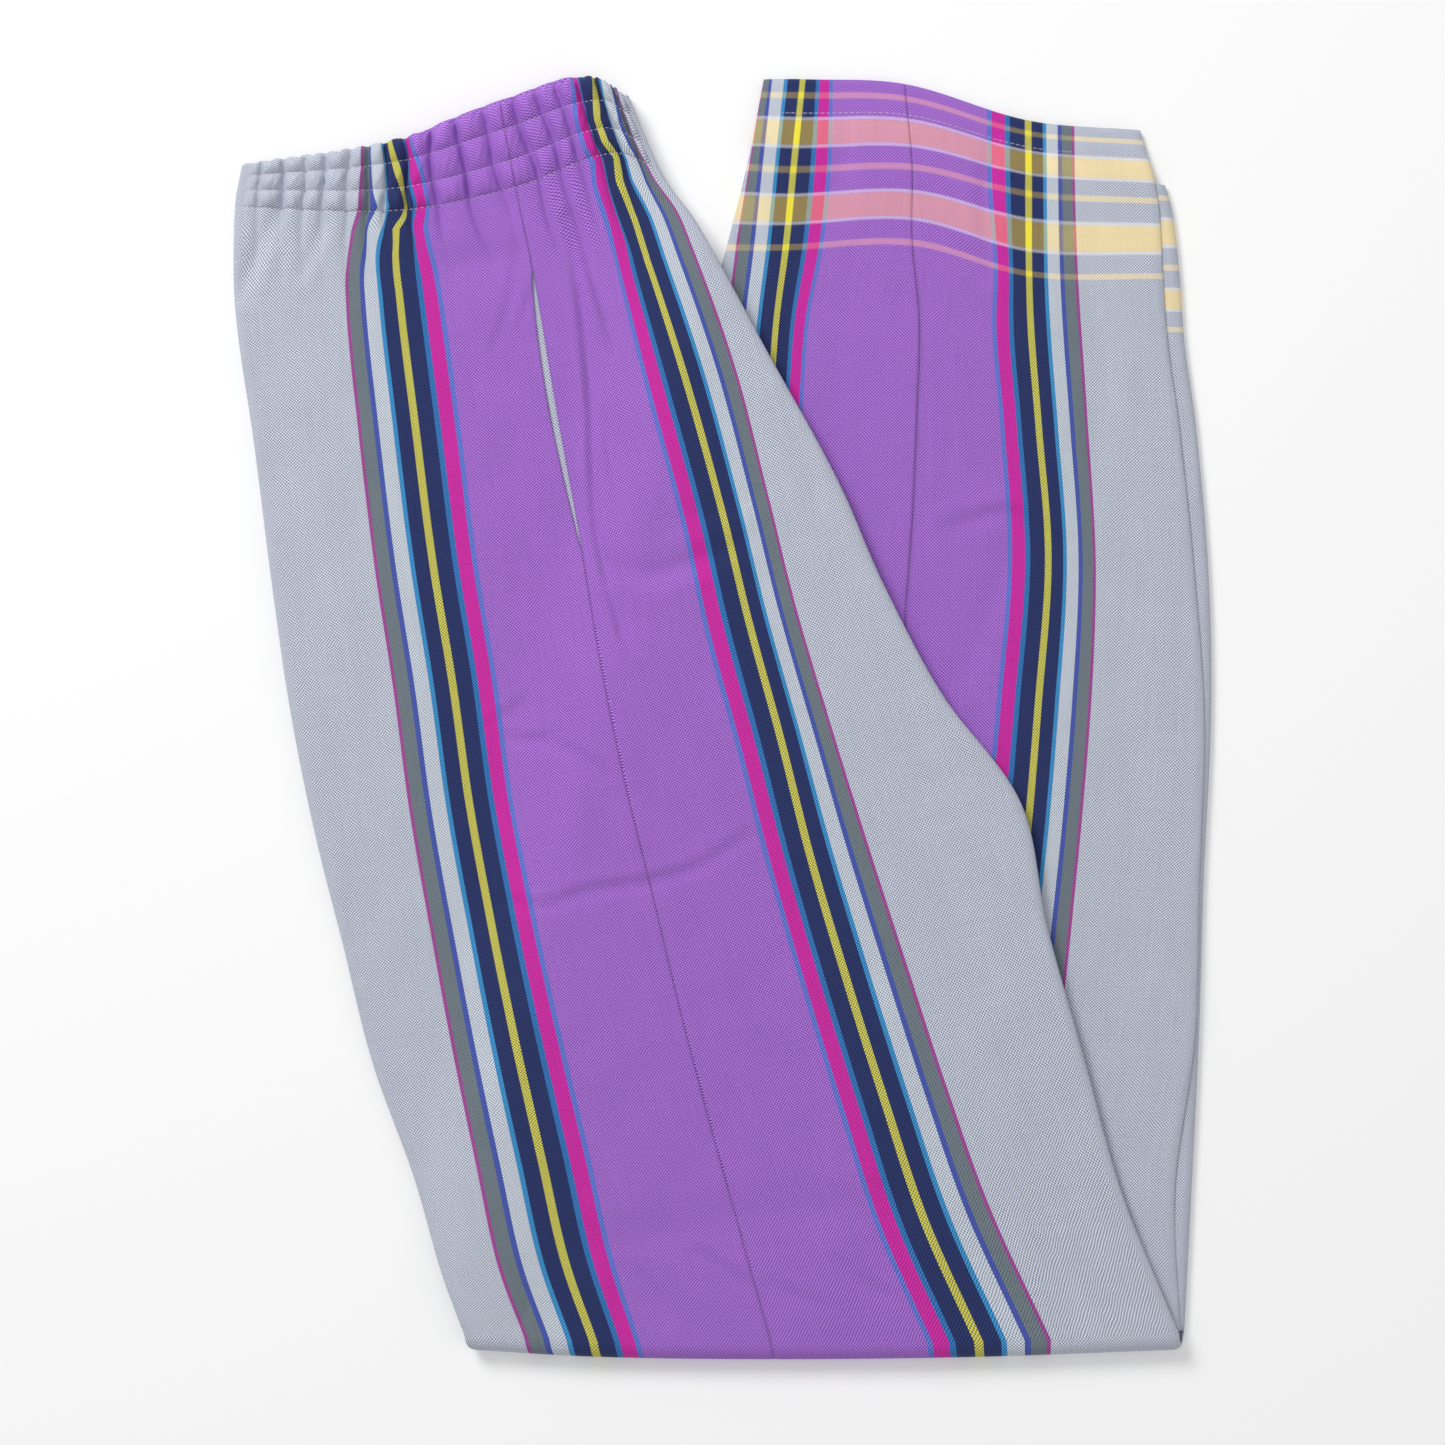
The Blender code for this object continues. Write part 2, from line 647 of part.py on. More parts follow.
def build():
    """All pieces of the folded trousers."""
    clear_scene()
    for front, side in ((True, "front"), (False, "back")):
        place("waist_casing_" + side, waist_casing(front), PURPLE)
        place("left_leg_" + side, shell(*left_leg_rows(front)), PURPLE)
        place("right_leg_" + side, shell(*right_leg_rows(front)), PURPLE)
        left_hem = hem_rows(below_row, LEFT_HEM_AT, front, TURN_DROP, WALL)
        place("left_hem_" + side, shell(*left_hem), CREAM)
        right_hem = hem_rows(right_row, RIGHT_LEG.length, front, RIGHT_TURN_DROP, WALL)
        place("right_hem_" + side, shell(*right_hem), CREAM)
    place("waist_casing_far", far_casing(), PALE)
    place("pocket_facing", pocket_facing(), PALE)
    place("hidden_layers_upper", hidden_layers_upper(), GREY_BLUE)
    place("hidden_layers_lower", hidden_layers_lower(), GREY_BLUE)


build()
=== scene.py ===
"""Looks of the folded kikoy trousers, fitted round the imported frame.

Tables and sizes are in millimetres, in the frame's own axes: +Y from the knee fold to the waist, +Z up.
"""

import logging
import math
from dataclasses import dataclass, field
from enum import Enum
from typing import Any, Callable, NamedTuple, Sequence

import bpy
import numpy as np
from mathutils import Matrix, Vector


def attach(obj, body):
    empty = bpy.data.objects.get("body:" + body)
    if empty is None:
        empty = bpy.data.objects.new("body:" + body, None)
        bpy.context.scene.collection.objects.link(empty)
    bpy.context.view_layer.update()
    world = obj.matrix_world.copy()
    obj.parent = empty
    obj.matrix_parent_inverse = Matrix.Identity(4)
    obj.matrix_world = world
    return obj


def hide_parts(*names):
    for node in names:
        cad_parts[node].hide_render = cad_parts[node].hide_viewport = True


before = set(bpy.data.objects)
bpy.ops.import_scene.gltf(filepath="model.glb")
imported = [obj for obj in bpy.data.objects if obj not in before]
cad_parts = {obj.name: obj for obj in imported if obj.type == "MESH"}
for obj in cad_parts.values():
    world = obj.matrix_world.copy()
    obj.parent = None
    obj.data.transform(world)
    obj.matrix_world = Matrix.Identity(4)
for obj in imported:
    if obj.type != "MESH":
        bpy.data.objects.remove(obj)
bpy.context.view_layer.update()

LOG = logging.getLogger("kikoy")
MM = 0.001
BODY = "root"

# Photograph's frame: its width and the height of its middle, in real millimetres
PHOTO_SIDE = 592.45
PHOTO_MIDDLE = (0.0, -1.6)
LENS = 100.0
SENSOR = 36.0

# Cloth
CLOTH = 0.55
CASING = 1.3
HEM_WIDTH = 13.0
HEM_SHIFT = 27.0
STITCH = 2.4
SEAM_GAP = 0.03
SEAM_DIP = 0.14
SEAM_SOFT = 0.6

# Soft swell of the cloth on top, and how far from the knee fold it stops
BROAD_SWELL = 0.4
MIDDLE_SWELL = 0.22
FINE_SWELL = 0.1
FOLD_FREE = 10.0

# Folded edges of the tubes
TURN_IN = 3.5
TURN_DROP = 2.2
RIGHT_TURN_DROP = 1.2

# Knee fold
FOLD_REACH = 7.0
LOWER_STACK = 5.8
REST_GAP = 0.4
HEM_FALL = 2.9

# Waist casing
STITCH_ROWS = (0.0, 11.0, 24.0, 35.0)
GATHER_LIFT = 1.6
PUFF_LIFT = 1.3
RIPPLE_LIFT = 0.16

# Pocket slit, down the seam from the waist edge
POCKET_TOP = 70.0
POCKET_END = 186.0
POCKET_OPEN = 3.6

# Stripe group at its flat size: from the yellow line to the purple band and to the pale field
GROUP_IN = 18.1
GROUP_OUT = 26.2

Spot = tuple[float, float]


class UpperSection(NamedTuple):
    """Section across the waist-to-knee stretch, with the four widths of its stripe groups."""

    name: str
    left: Spot
    front_line: Spot
    seam: Spot
    back_line: Spot
    right: Spot
    height: float
    front_out: float
    front_in: float
    back_in: float
    back_out: float


UPPER = (
    UpperSection("waist edge", (-197, 227), (-134, 237), (-91, 252), (-54, 263), (-38, 254),
                 10.6, 14.0, 8.5, 10.0, 12.5),
    UpperSection("casing seam", (-200, 207), (-133, 205), (-84, 214), (-44, 228), (-24, 222),
                 10.6, 18.0, 11.5, 10.4, 15.5),
    UpperSection("pocket top", (-200, 170), (-133, 179), (-78, 185), (-33, 195), (-10, 202),
                 9.8, 21.8, 16.9, 12.6, 18.6),
    UpperSection("pocket middle", (-192, 111), (-126, 119), (-68, 126), (-15, 139), (19, 149),
                 8.6, 23.5, 18.3, 16.8, 20.8),
    UpperSection("pocket end", (-185, 55), (-119, 64), (-58, 71), (0, 85), (47, 98),
                 7.8, 23.9, 18.1, 17.4, 19.8),
    UpperSection("hip", (-178, 6), (-111, 15), (-50, 24), (11, 40), (66, 55),
                 7.2, 24.4, 18.1, 18.6, 20.0),
    UpperSection("upper thigh", (-168, -45), (-104, -35), (-40, -25), (24, -8), (90, 10),
                 6.8, 24.8, 17.9, 18.6, 21.2),
    UpperSection("crotch", (-156, -93), (-95, -84), (-28, -74), (36, -56), (122, -34),
                 6.4, 25.3, 18.6, 18.3, 24.0),
    UpperSection("middle thigh", (-144, -141), (-85, -132), (-16, -124), (51, -107), (133, -85),
                 6.0, 26.4, 19.2, 18.6, 25.4),
    UpperSection("lower thigh", (-127, -188), (-74, -181), (-3, -173), (67, -158), (149, -142),
                 5.6, 27.0, 19.7, 19.1, 26.2),
    UpperSection("above knee", (-116, -225), (-65, -221), (9, -216), (83, -206), (164, -195),
                 5.2, 27.5, 19.8, 19.9, 27.8),
    UpperSection("fold start", (-106, -252), (-53, -255), (20, -256), (105, -255), (187, -252),
                 5.0, 28.3, 19.2, 21.2, 29.6),
)


class LowerSection(NamedTuple):
    """Section across the folded-under stretch; the lower tube reaches out to outer_right."""

    name: str
    left: Spot
    front_line: Spot
    seam: Spot
    back_line: Spot
    right: Spot
    outer_right: Spot
    front_out: float
    front_in: float
    back_in: float
    back_out: float


LOWER = (
    LowerSection("fold start", (-103, -252), (-49, -255), (23, -256), (107, -255), (188, -252), (190, -252),
                 28.0, 19.5, 20.5, 28.0),
    LowerSection("below knee", (-90, -197), (-34, -197), (28, -195), (99, -193), (186, -193), (193, -193),
                 26.5, 18.6, 19.5, 26.5),
    LowerSection("upper calf", (-74, -132), (-21, -132), (44, -130), (114, -130), (194, -132), (196, -132),
                 25.5, 18.2, 18.8, 24.0),
    LowerSection("calf", (-57, -57), (-8, -58), (60, -58), (124, -60), (196, -66), (198, -66),
                 24.5, 18.0, 17.8, 21.8),
    LowerSection("middle calf", (-42, 8), (3, 8), (71, 8), (130, 8), (198, 1), (201, 1),
                 23.0, 17.0, 17.2, 21.6),
    LowerSection("lower calf", (-29, 65), (12, 65), (77, 65), (134, 65), (194, 59), (200, 59),
                 22.0, 15.0, 16.8, 19.4),
    LowerSection("shin", (-16, 122), (19, 124), (80, 124), (130, 120), (188, 118), (195, 118),
                 21.0, 13.4, 16.0, 20.3),
    LowerSection("ankle", (-7, 161), (22, 163), (81, 163), (127, 157), (183, 155), (190, 155),
                 20.5, 13.2, 16.2, 20.8),
    LowerSection("last stripe", (2, 195), (26, 195), (78, 197), (126, 184), (181, 183), (188, 183),
                 20.5, 15.4, 15.0, 20.2),
    LowerSection("second stripe", (10, 227), (29, 226), (78, 227), (126, 216), (179, 213), (184, 213),
                 20.0, 15.4, 17.4, 19.0),
    LowerSection("hem edge", (17, 263), (33, 263), (75, 261), (126, 246), (172, 242), (173, 242),
                 20.0, 12.2, 17.8, 19.0),
)

# Left edge of the folded-under stretch, and where the layers above it climb
EDGE_FOOT = (-104.0, -259.0)
EDGE_SLOPE = 0.2335
STEP_TOP = (-44.0, -4.0)
STEP_BELOW = (-30.0, -13.0)


class Crease(NamedTuple):
    """Soft trough: its route, depth and half width; ridge lifts the cloth beside it."""

    name: str
    route: tuple[Spot, ...]
    depth: float
    width: float
    ridge: float = 0.0


UPPER_CREASES = (
    Crease("beside pocket",
           ((-41, 34), (-47, 56), (-52, 85), (-54, 133), (-60, 186), (-64, 206)), 1.5, 2.2, 0.5),
    Crease("shade of that fold", ((-34, 40), (-40, 62), (-45, 92), (-47, 120)), 0.8, 4.5, 0.2),
    Crease("waist fold", ((-44, 150), (-47, 161), (-56, 190), (-61, 206)), 1.1, 2.2, 0.45),
    Crease("pocket fine fold", ((-41, 84), (-44, 98), (-50, 127)), 0.7, 1.8, 0.5),
    Crease("pocket top hollow", ((-116, 184), (-100, 188), (-84, 190)), 0.9, 6.0, 0.2),
    Crease("pocket top drag one", ((-94, 150), (-87, 170), (-83, 196)), 0.5, 2.6, 0.4),
    Crease("pocket top drag two", ((-84, 160), (-79, 172), (-76, 180)), 0.4, 1.8, 0.4),
    Crease("pocket hook", ((-34, 29), (-38, 31), (-43, 47)), 0.8, 2.4, 0.3),
    Crease("across hip", ((9, 72), (-12, 64), (-30, 59), (-46, 63)), 1.3, 5.0, 0.3),
    Crease("hip second", ((22, 96), (0, 86), (-22, 80)), 0.5, 5.0, 0.3),
    Crease("band wrinkle one", ((-97, -3), (-88, 2), (-80, 8)), 0.7, 2.2, 0.5),
    Crease("band wrinkle two", ((-92, -7), (-80, -9), (-66, -6)), 0.9, 2.3, 0.5),
    Crease("band wrinkle three", ((-76, -10), (-62, -13), (-48, -23)), 0.8, 2.3, 0.5),
    Crease("long thigh",
           ((-91, -75), (-74, -77), (-55, -71), (-30, -67), (-8, -60), (10, -48)), 1.2, 2.8, 0.5),
    Crease("field below casing", ((-181, 212), (-189, 194), (-198, 174)), 1.4, 3.6, 0.4),
    Crease("field slant", ((-163, 204), (-168, 192), (-172, 182)), 1.1, 3.0, 0.4),
    Crease("field third", ((-150, 204), (-153, 190), (-152, 170)), 0.6, 2.6, 0.4),
    Crease("field soft one", ((-190, 150), (-178, 96), (-172, 40)), 0.6, 9.0, 0.3),
    Crease("field soft two", ((-150, 120), (-146, 50), (-140, -30)), 0.5, 10.0, 0.3),
    Crease("field soft three", ((-150, -60), (-138, -120), (-122, -180)), 0.5, 8.0, 0.3),
    Crease("back field soft", ((30, 110), (52, 60), (74, 14)), 0.7, 7.0, 0.3),
    Crease("back thigh soft", ((60, -10), (92, -62), (104, -120)), 0.6, 8.0, 0.3),
    Crease("back knee soft", ((112, -130), (136, -176), (150, -220)), 0.6, 6.0, 0.3),
    Crease("band soft", ((-60, 24), (-46, -50), (-36, -110)), 0.4, 7.0),
    Crease("fold pucker one", ((-10, -218), (2, -226), (11, -233)), 0.8, 2.3, 0.5),
    Crease("fold pucker two", ((18, -231), (30, -236), (44, -241)), 0.9, 2.2, 0.5),
    Crease("fold pucker three", ((48, -222), (58, -231), (72, -238)), 0.8, 2.4, 0.5),
    Crease("fold pucker four", ((-34, -226), (-26, -238), (-22, -250)), 0.7, 2.6, 0.4),
    Crease("fold pucker five", ((86, -228), (98, -236), (112, -248)), 0.7, 2.6, 0.4),
    Crease("fold pucker six", ((-84, -228), (-80, -240), (-84, -250)), 0.6, 2.6, 0.4),
    Crease("fold pucker seven", ((128, -214), (140, -230), (146, -246)), 0.6, 3.0, 0.4),
    Crease("above fold soft", ((-60, -216), (0, -206), (70, -196)), 0.6, 8.0, 0.3),
)
LOWER_CREASES = (
    Crease("hem drop", ((112, 240), (108, 214), (111, 184)), 1.1, 4.5, 0.4),
    Crease("hem hollow", ((48, 262), (50, 236), (46, 206)), 0.7, 5.0, 0.3),
    Crease("hem second drop", ((133, 244), (130, 222), (131, 206)), 0.6, 3.6, 0.4),
    Crease("ankle kink", ((92, 78), (106, 82), (118, 84), (130, 76)), 1.0, 3.6, 0.45),
    Crease("calf shade", ((120, 80), (110, 44), (94, 12)), 0.7, 6.0, 0.3),
    Crease("near pressed edge", ((84, 196), (84, 110), (84, 40)), 0.22, 0.9, 0.6),
    Crease("far pressed edge", ((94, 190), (94, 110), (94, 40)), 0.16, 0.9, 0.6),
    Crease("pressed end", ((82, 39), (88, 39), (95, 39)), 0.25, 1.0, 0.5),
    Crease("knee corner one", ((148, -168), (166, -206), (184, -236)), 0.8, 3.0, 0.5),
    Crease("knee corner two", ((158, -214), (172, -232), (186, -246)), 0.7, 2.4, 0.5),
    Crease("calf side soft", ((166, 60), (170, 0), (168, -70)), 0.5, 8.0, 0.3),
    Crease("shin soft", ((152, 178), (156, 130), (150, 90)), 0.5, 6.0, 0.3),
)


class Valley(NamedTuple):
    """Valley between two waist gathers: share of the width, depth, and reach below the casing."""

    share: float
    depth: float
    reach: float


VALLEYS = (
    Valley(0.0, 0.0, 10.0), Valley(0.05, 0.5, 22.0), Valley(0.105, 0.7, 14.0), Valley(0.155, 0.5, 26.0),
    Valley(0.2, 0.7, 12.0), Valley(0.26, 0.5, 18.0), Valley(0.31, 0.7, 30.0), Valley(0.355, 0.9, 14.0),
    Valley(0.41, 0.8, 34.0), Valley(0.475, 1.1, 20.0), Valley(0.55, 1.3, 46.0), Valley(0.62, 0.6, 16.0),
    Valley(0.7, 1.2, 60.0), Valley(0.755, 1.1, 52.0), Valley(0.8, 0.9, 30.0), Valley(0.85, 1.0, 40.0),
    Valley(0.9, 0.8, 20.0), Valley(0.95, 0.6, 16.0), Valley(1.0, 0.0, 10.0),
)


# How far each stripe group drifts towards the right in the waist gathers, by distance from the waist edge
DRIFT_REACH = 15.0
FRONT_DRIFT = ((0.0, -1.6), (12.0, 0.2), (24.0, 1.6), (33.0, 3.2),
               (38.0, 2.0), (44.0, -0.4), (56.0, -0.8), (74.0, 0.0))
BACK_DRIFT = ((0.0, 0.6), (9.0, -0.6), (20.0, -1.8), (30.0, -1.2),
              (37.0, 0.8), (46.0, -0.6), (60.0, 0.4), (80.0, 0.0))


def ease(value: Any, low: float, high: float) -> Any:
    """Smooth step from 0 at low to 1 at high.

    Args:
        value: Number or array.
        low: Where the step starts.
        high: Where the step ends.

    Returns:
        Share from 0 to 1, of the same kind as value.
    """
    share = np.clip((value - low) / (high - low), 0.0, 1.0)
    return share * share * (3.0 - 2.0 * share)


def running(points: np.ndarray) -> np.ndarray:
    """Running length along a list of points."""
    steps = np.linalg.norm(np.diff(points, axis=0), axis=1)
    return np.concatenate(([0.0], np.cumsum(steps)))


def smooth(points: np.ndarray, knots: np.ndarray, where: np.ndarray) -> np.ndarray:
    """Smooth curve through points, read at running lengths.

    Args:
        points: Points, one a row.
        knots: Running length of each point.
        where: Running lengths to read.

    Returns:
        One row of coordinates for each length.
    """
    last = len(knots) - 1
    index = np.clip(np.searchsorted(knots, where, side="right") - 1, 0, last - 1)
    span = (knots[index + 1] - knots[index])[:, None]
    share = (where - knots[index])[:, None] / span
    low = np.maximum(np.arange(last + 1) - 1, 0)
    high = np.minimum(np.arange(last + 1) + 1, last)
    slopes = (points[high] - points[low]) / (knots[high] - knots[low])[:, None]
    square = share * share
    cube = square * share
    return (points[index] * (2 * cube - 3 * square + 1) + slopes[index] * span * (cube - 2 * square + share)
            + points[index + 1] * (3 * square - 2 * cube) + slopes[index + 1] * span * (cube - square))


def crease_relief(creases: Sequence[Crease], spots: np.ndarray) -> np.ndarray:
    """Relief of the given creases.

    Args:
        creases: Creases to add up.
        spots: Places on the cloth, one a row.

    Returns:
        Lift at each place, mostly negative.
    """
    total = np.zeros(len(spots))
    for crease in creases:
        route = np.array(crease.route, dtype=float)
        lengths = running(route)
        fine = smooth(route, lengths, np.linspace(0.0, lengths[-1], 24))
        reach = running(fine)
        best = np.full(len(spots), 1e9)
        side = np.zeros(len(spots))
        place = np.zeros(len(spots))
        for index in range(len(fine) - 1):
            run = fine[index + 1] - fine[index]
            offset = spots - fine[index]
            share = np.clip(offset @ run / (run @ run), 0.0, 1.0)
            away = offset - share[:, None] * run
            gap = np.hypot(away[:, 0], away[:, 1])
            nearer = gap < best
            best = np.where(nearer, gap, best)
            cross = run[0] * offset[:, 1] - run[1] * offset[:, 0]
            side = np.where(nearer, np.sign(cross), side)
            place = np.where(nearer, reach[index] + share * (reach[index + 1] - reach[index]), place)
        taper = np.sin(np.pi * np.clip((place + 0.12 * reach[-1]) / (1.24 * reach[-1]), 0.0, 1.0)) ** 0.6
        hollow = np.exp(-(best / crease.width) ** 2)
        bank = np.exp(-((best * side - 1.7 * crease.width) / crease.width) ** 2)
        total += taper * crease.depth * (crease.ridge * bank - hollow)
    return total


class Stretch:
    """One flat stretch of the trousers, from its table of sections."""

    def __init__(self, sections: Sequence[Any], columns: Sequence[str]) -> None:
        """Reads the section table.

        Args:
            sections: Rows of the table.
            columns: The five columns that hold the section's points.
        """
        self.lines = [np.array([getattr(row, name) for row in sections], dtype=float) for name in columns]
        self.knots = running(self.lines[2])
        self.length = float(self.knots[-1])
        names = ("front_out", "front_in", "back_in", "back_out")
        self.groups = np.array([[getattr(row, name) for name in names] for row in sections], dtype=float)
        heights = [getattr(row, "height", LOWER_STACK) for row in sections]
        self.heights = np.array(heights, dtype=float)[:, None]

    def section(self, along: float) -> np.ndarray:
        """The five points of the section at this distance down the seam."""
        place = np.array([along])
        return np.vstack([smooth(line, self.knots, place) for line in self.lines])

    def group_widths(self, along: float) -> np.ndarray:
        """Widths of the two stripe groups, each side of its yellow line."""
        return smooth(self.groups, self.knots, np.array([along]))[0]

    def height(self, along: float) -> float:
        """Height of this stretch's layers on a flat surface."""
        return float(smooth(self.heights, self.knots, np.array([along]))[0, 0])


POINTS = ("left", "front_line", "seam", "back_line", "right")
UPPER_STRETCH = Stretch(UPPER, POINTS)
RIGHT_LEG = Stretch(LOWER, POINTS)
LEFT_LEG_BELOW = Stretch(LOWER, POINTS[:4] + ("outer_right",))
LEFT_HEM_AT = LEFT_LEG_BELOW.length - HEM_SHIFT
FOLD_HEIGHT = UPPER_STRETCH.height(UPPER_STRETCH.length) + LOWER_STACK + REST_GAP
FOLD_CLOTH = math.pi * 0.5 * (FOLD_HEIGHT * 0.5 + FOLD_REACH)


def past_edge(spots: np.ndarray) -> np.ndarray:
    """Distance to the right of the folded-under stretch's left edge."""
    return spots[:, 0] - (EDGE_FOOT[0] + (spots[:, 1] - EDGE_FOOT[1]) * EDGE_SLOPE)


def channel_puff(along: float) -> float:
    """Rise of the casing between its rows of stitching, from 0 to 1."""
    for above, below in zip(STITCH_ROWS, STITCH_ROWS[1:]):
        if above <= along <= below:
            return max(0.0, math.sin(math.pi * (along - above) / (below - above))) ** 0.7
    return 0.0


def valley_shares(along: float) -> np.ndarray:
    """Where the gathers' valleys lie across the width, at this distance from the waist edge."""
    shares = np.array([valley.share for valley in VALLEYS])
    lean = 0.012 * np.sin(along / 19.0 + 7.0 * shares) + 0.004 * np.sin(along / 6.1 + 31.0 * shares)
    return shares + lean * np.sin(np.pi * shares)


def gather_relief(share: np.ndarray, width: float, along: float) -> np.ndarray:
    """Lift of the waist gathers: broad crests between tight valleys of uneven reach.

    Args:
        share: Places across the width, from 0 to 1.
        width: The width.
        along: Distance from the waist edge.

    Returns:
        Lift at each place.
    """
    centres = valley_shares(along)
    puff = channel_puff(along)
    below = along - STITCH_ROWS[-1]
    fade = float(ease(below, 40.0, -4.0))
    index = np.clip(np.searchsorted(centres, share) - 1, 0, len(centres) - 2)
    gap = centres[index + 1] - centres[index]
    inside = np.clip((share - centres[index]) / gap, 0.0, 1.0)
    crest = 2.0 * np.sin(np.pi * inside) ** 0.6 - 1.0
    broad = np.clip(gap * width / 9.0, 0.5, 1.3)
    strength = 0.5 + 0.5 * puff if below <= 0.0 else 0.5 * fade
    ripple = np.sin(share * width * 1.75 + 1.6 * math.sin(along / 2.9) + 5.0 * np.sin(share * 9.0))
    lift = GATHER_LIFT * strength * broad * crest + (PUFF_LIFT + RIPPLE_LIFT * ripple) * puff
    for valley, centre in zip(VALLEYS, centres):
        reach = float(ease(below, valley.reach, 0.3 * valley.reach))
        away = (share - centre) * width / (1.2 + 0.035 * max(below, 0.0))
        lift -= valley.depth * reach * (0.7 + 0.8 * puff) * np.exp(-away * away)
    return lift


def gathered_across(across: np.ndarray, width: float, along: float) -> np.ndarray:
    """Cloth distance taken up in the valleys, so that stripes dip out of sight there.

    Args:
        across: Distances from the left edge, as seen.
        width: The width.
        along: Distance from the waist edge.

    Returns:
        Distances with each valley's extra cloth before and after it.
    """
    below = along - STITCH_ROWS[-1]
    taken = np.zeros(len(across))
    for valley, centre in zip(VALLEYS, valley_shares(along)):
        reach = float(ease(below, valley.reach * 1.3, 0.3 * valley.reach))
        away = across - centre * width
        taken += 1.5 * valley.depth * reach * np.tanh(away / 1.1) * np.exp(-(away / 4.5) ** 2)
    return across + taken


def upper_face(spots: np.ndarray, along: float) -> np.ndarray:
    """Height of the upper face, without gathers."""
    climb = (LOWER_STACK + REST_GAP) * ease(past_edge(spots), *STEP_TOP)
    free = float(ease(along, UPPER_STRETCH.length, UPPER_STRETCH.length - FOLD_FREE))
    across, down = spots[:, 0], spots[:, 1]
    swell = BROAD_SWELL * np.sin(across / 31.0) * np.sin(down / 43.0 + 0.8)
    swell = swell + MIDDLE_SWELL * np.sin(across / 13.0 + down / 29.0)
    swell = swell + FINE_SWELL * np.sin(across / 7.3 - down / 11.0 + 2.0 * np.sin(down / 37.0))
    return UPPER_STRETCH.height(along) + climb + free * (swell + crease_relief(UPPER_CREASES, spots))


def right_leg_base(spots: np.ndarray, along: float) -> np.ndarray:
    """Height of the folded-under stretch without creases: it comes down past the lower hem."""
    fall = HEM_FALL * float(ease(along, LEFT_HEM_AT, LEFT_HEM_AT + 25.0))
    return np.full(len(spots), LOWER_STACK - fall)


def right_leg_face(spots: np.ndarray, along: float) -> np.ndarray:
    """Height of the right leg's upper face."""
    near_hem = float(ease(along, RIGHT_LEG.length + 10.0, RIGHT_LEG.length - 14.0))
    shown = float(ease(along, 0.0, 16.0)) * near_hem
    covered = ease(upper_cover(spots), 6.0, -4.0)
    swell = 0.12 * np.sin(spots[:, 0] / 9.0 + spots[:, 1] / 23.0) + 0.12 * np.sin(spots[:, 1] / 31.0)
    return right_leg_base(spots, along) + shown * covered * (swell + crease_relief(LOWER_CREASES, spots))


def upper_cover(spots: np.ndarray) -> np.ndarray:
    """How far each place lies inside the right edge of the stretch on top; negative outside it."""
    edge = UPPER_STRETCH.lines[4]
    order = np.argsort(edge[:, 1])
    return np.interp(spots[:, 1], edge[order, 1], edge[order, 0]) - spots[:, 0]


class Way(Enum):
    """Which face of the fold a row of cloth lies on."""

    TOP = "top"
    FOLD = "fold"
    BELOW = "below"


@dataclass
class Row:
    """A row of cloth points across a leg."""

    points: np.ndarray
    along: float
    way: Way
    hem: float
    turn: float = 0.0
    face: Callable[[np.ndarray, float], np.ndarray] | None = None
    groups: np.ndarray | None = None
    gathered: bool = False


@dataclass(frozen=True)
class Columns:
    """Places across a leg: knot 0 left edge, 1 front line, 2 seam, 3 back line, 4 right edge."""

    knot: np.ndarray
    lip: np.ndarray
    shift: np.ndarray


def upper_row(along: float) -> Row:
    """Row on the upper face of the left leg."""
    hem = LEFT_HEM_AT + FOLD_CLOTH + UPPER_STRETCH.length - along
    place = max(along, 0.0)
    return Row(UPPER_STRETCH.section(place), along, Way.TOP, hem, 0.0, upper_face,
               UPPER_STRETCH.group_widths(place), True)


def fold_row(turn: float) -> Row:
    """Row round the knee fold, turned by an angle from 0 on top to pi below."""
    share = turn / math.pi
    start = UPPER_STRETCH.section(UPPER_STRETCH.length)
    end = LEFT_LEG_BELOW.section(0.0)
    groups = (UPPER_STRETCH.group_widths(UPPER_STRETCH.length) * (1.0 - share)
              + LEFT_LEG_BELOW.group_widths(0.0) * share)
    hem = LEFT_HEM_AT + FOLD_CLOTH * (1.0 - share)
    return Row(start * (1.0 - share) + end * share, 0.0, Way.FOLD, hem, turn, None, groups)


def below_row(along: float) -> Row:
    """Row on the underside, which is the left leg's lower stretch."""
    return Row(LEFT_LEG_BELOW.section(along), along, Way.BELOW, LEFT_HEM_AT - along, math.pi, None,
               LEFT_LEG_BELOW.group_widths(along))


def right_row(along: float) -> Row:
    """Row on the right leg's folded-under stretch."""
    return Row(RIGHT_LEG.section(along), along, Way.TOP, RIGHT_LEG.length - along, 0.0, right_leg_face,
               RIGHT_LEG.group_widths(along))


def slit(along: float) -> float:
    """How far the pocket slit stands open at this distance from the waist edge."""
    if not POCKET_TOP < along < POCKET_END:
        return 0.0
    share = (along - POCKET_TOP) / (POCKET_END - POCKET_TOP)
    return POCKET_OPEN * math.sin(math.pi * share) ** 0.6 * (1.0 - 0.35 * share)


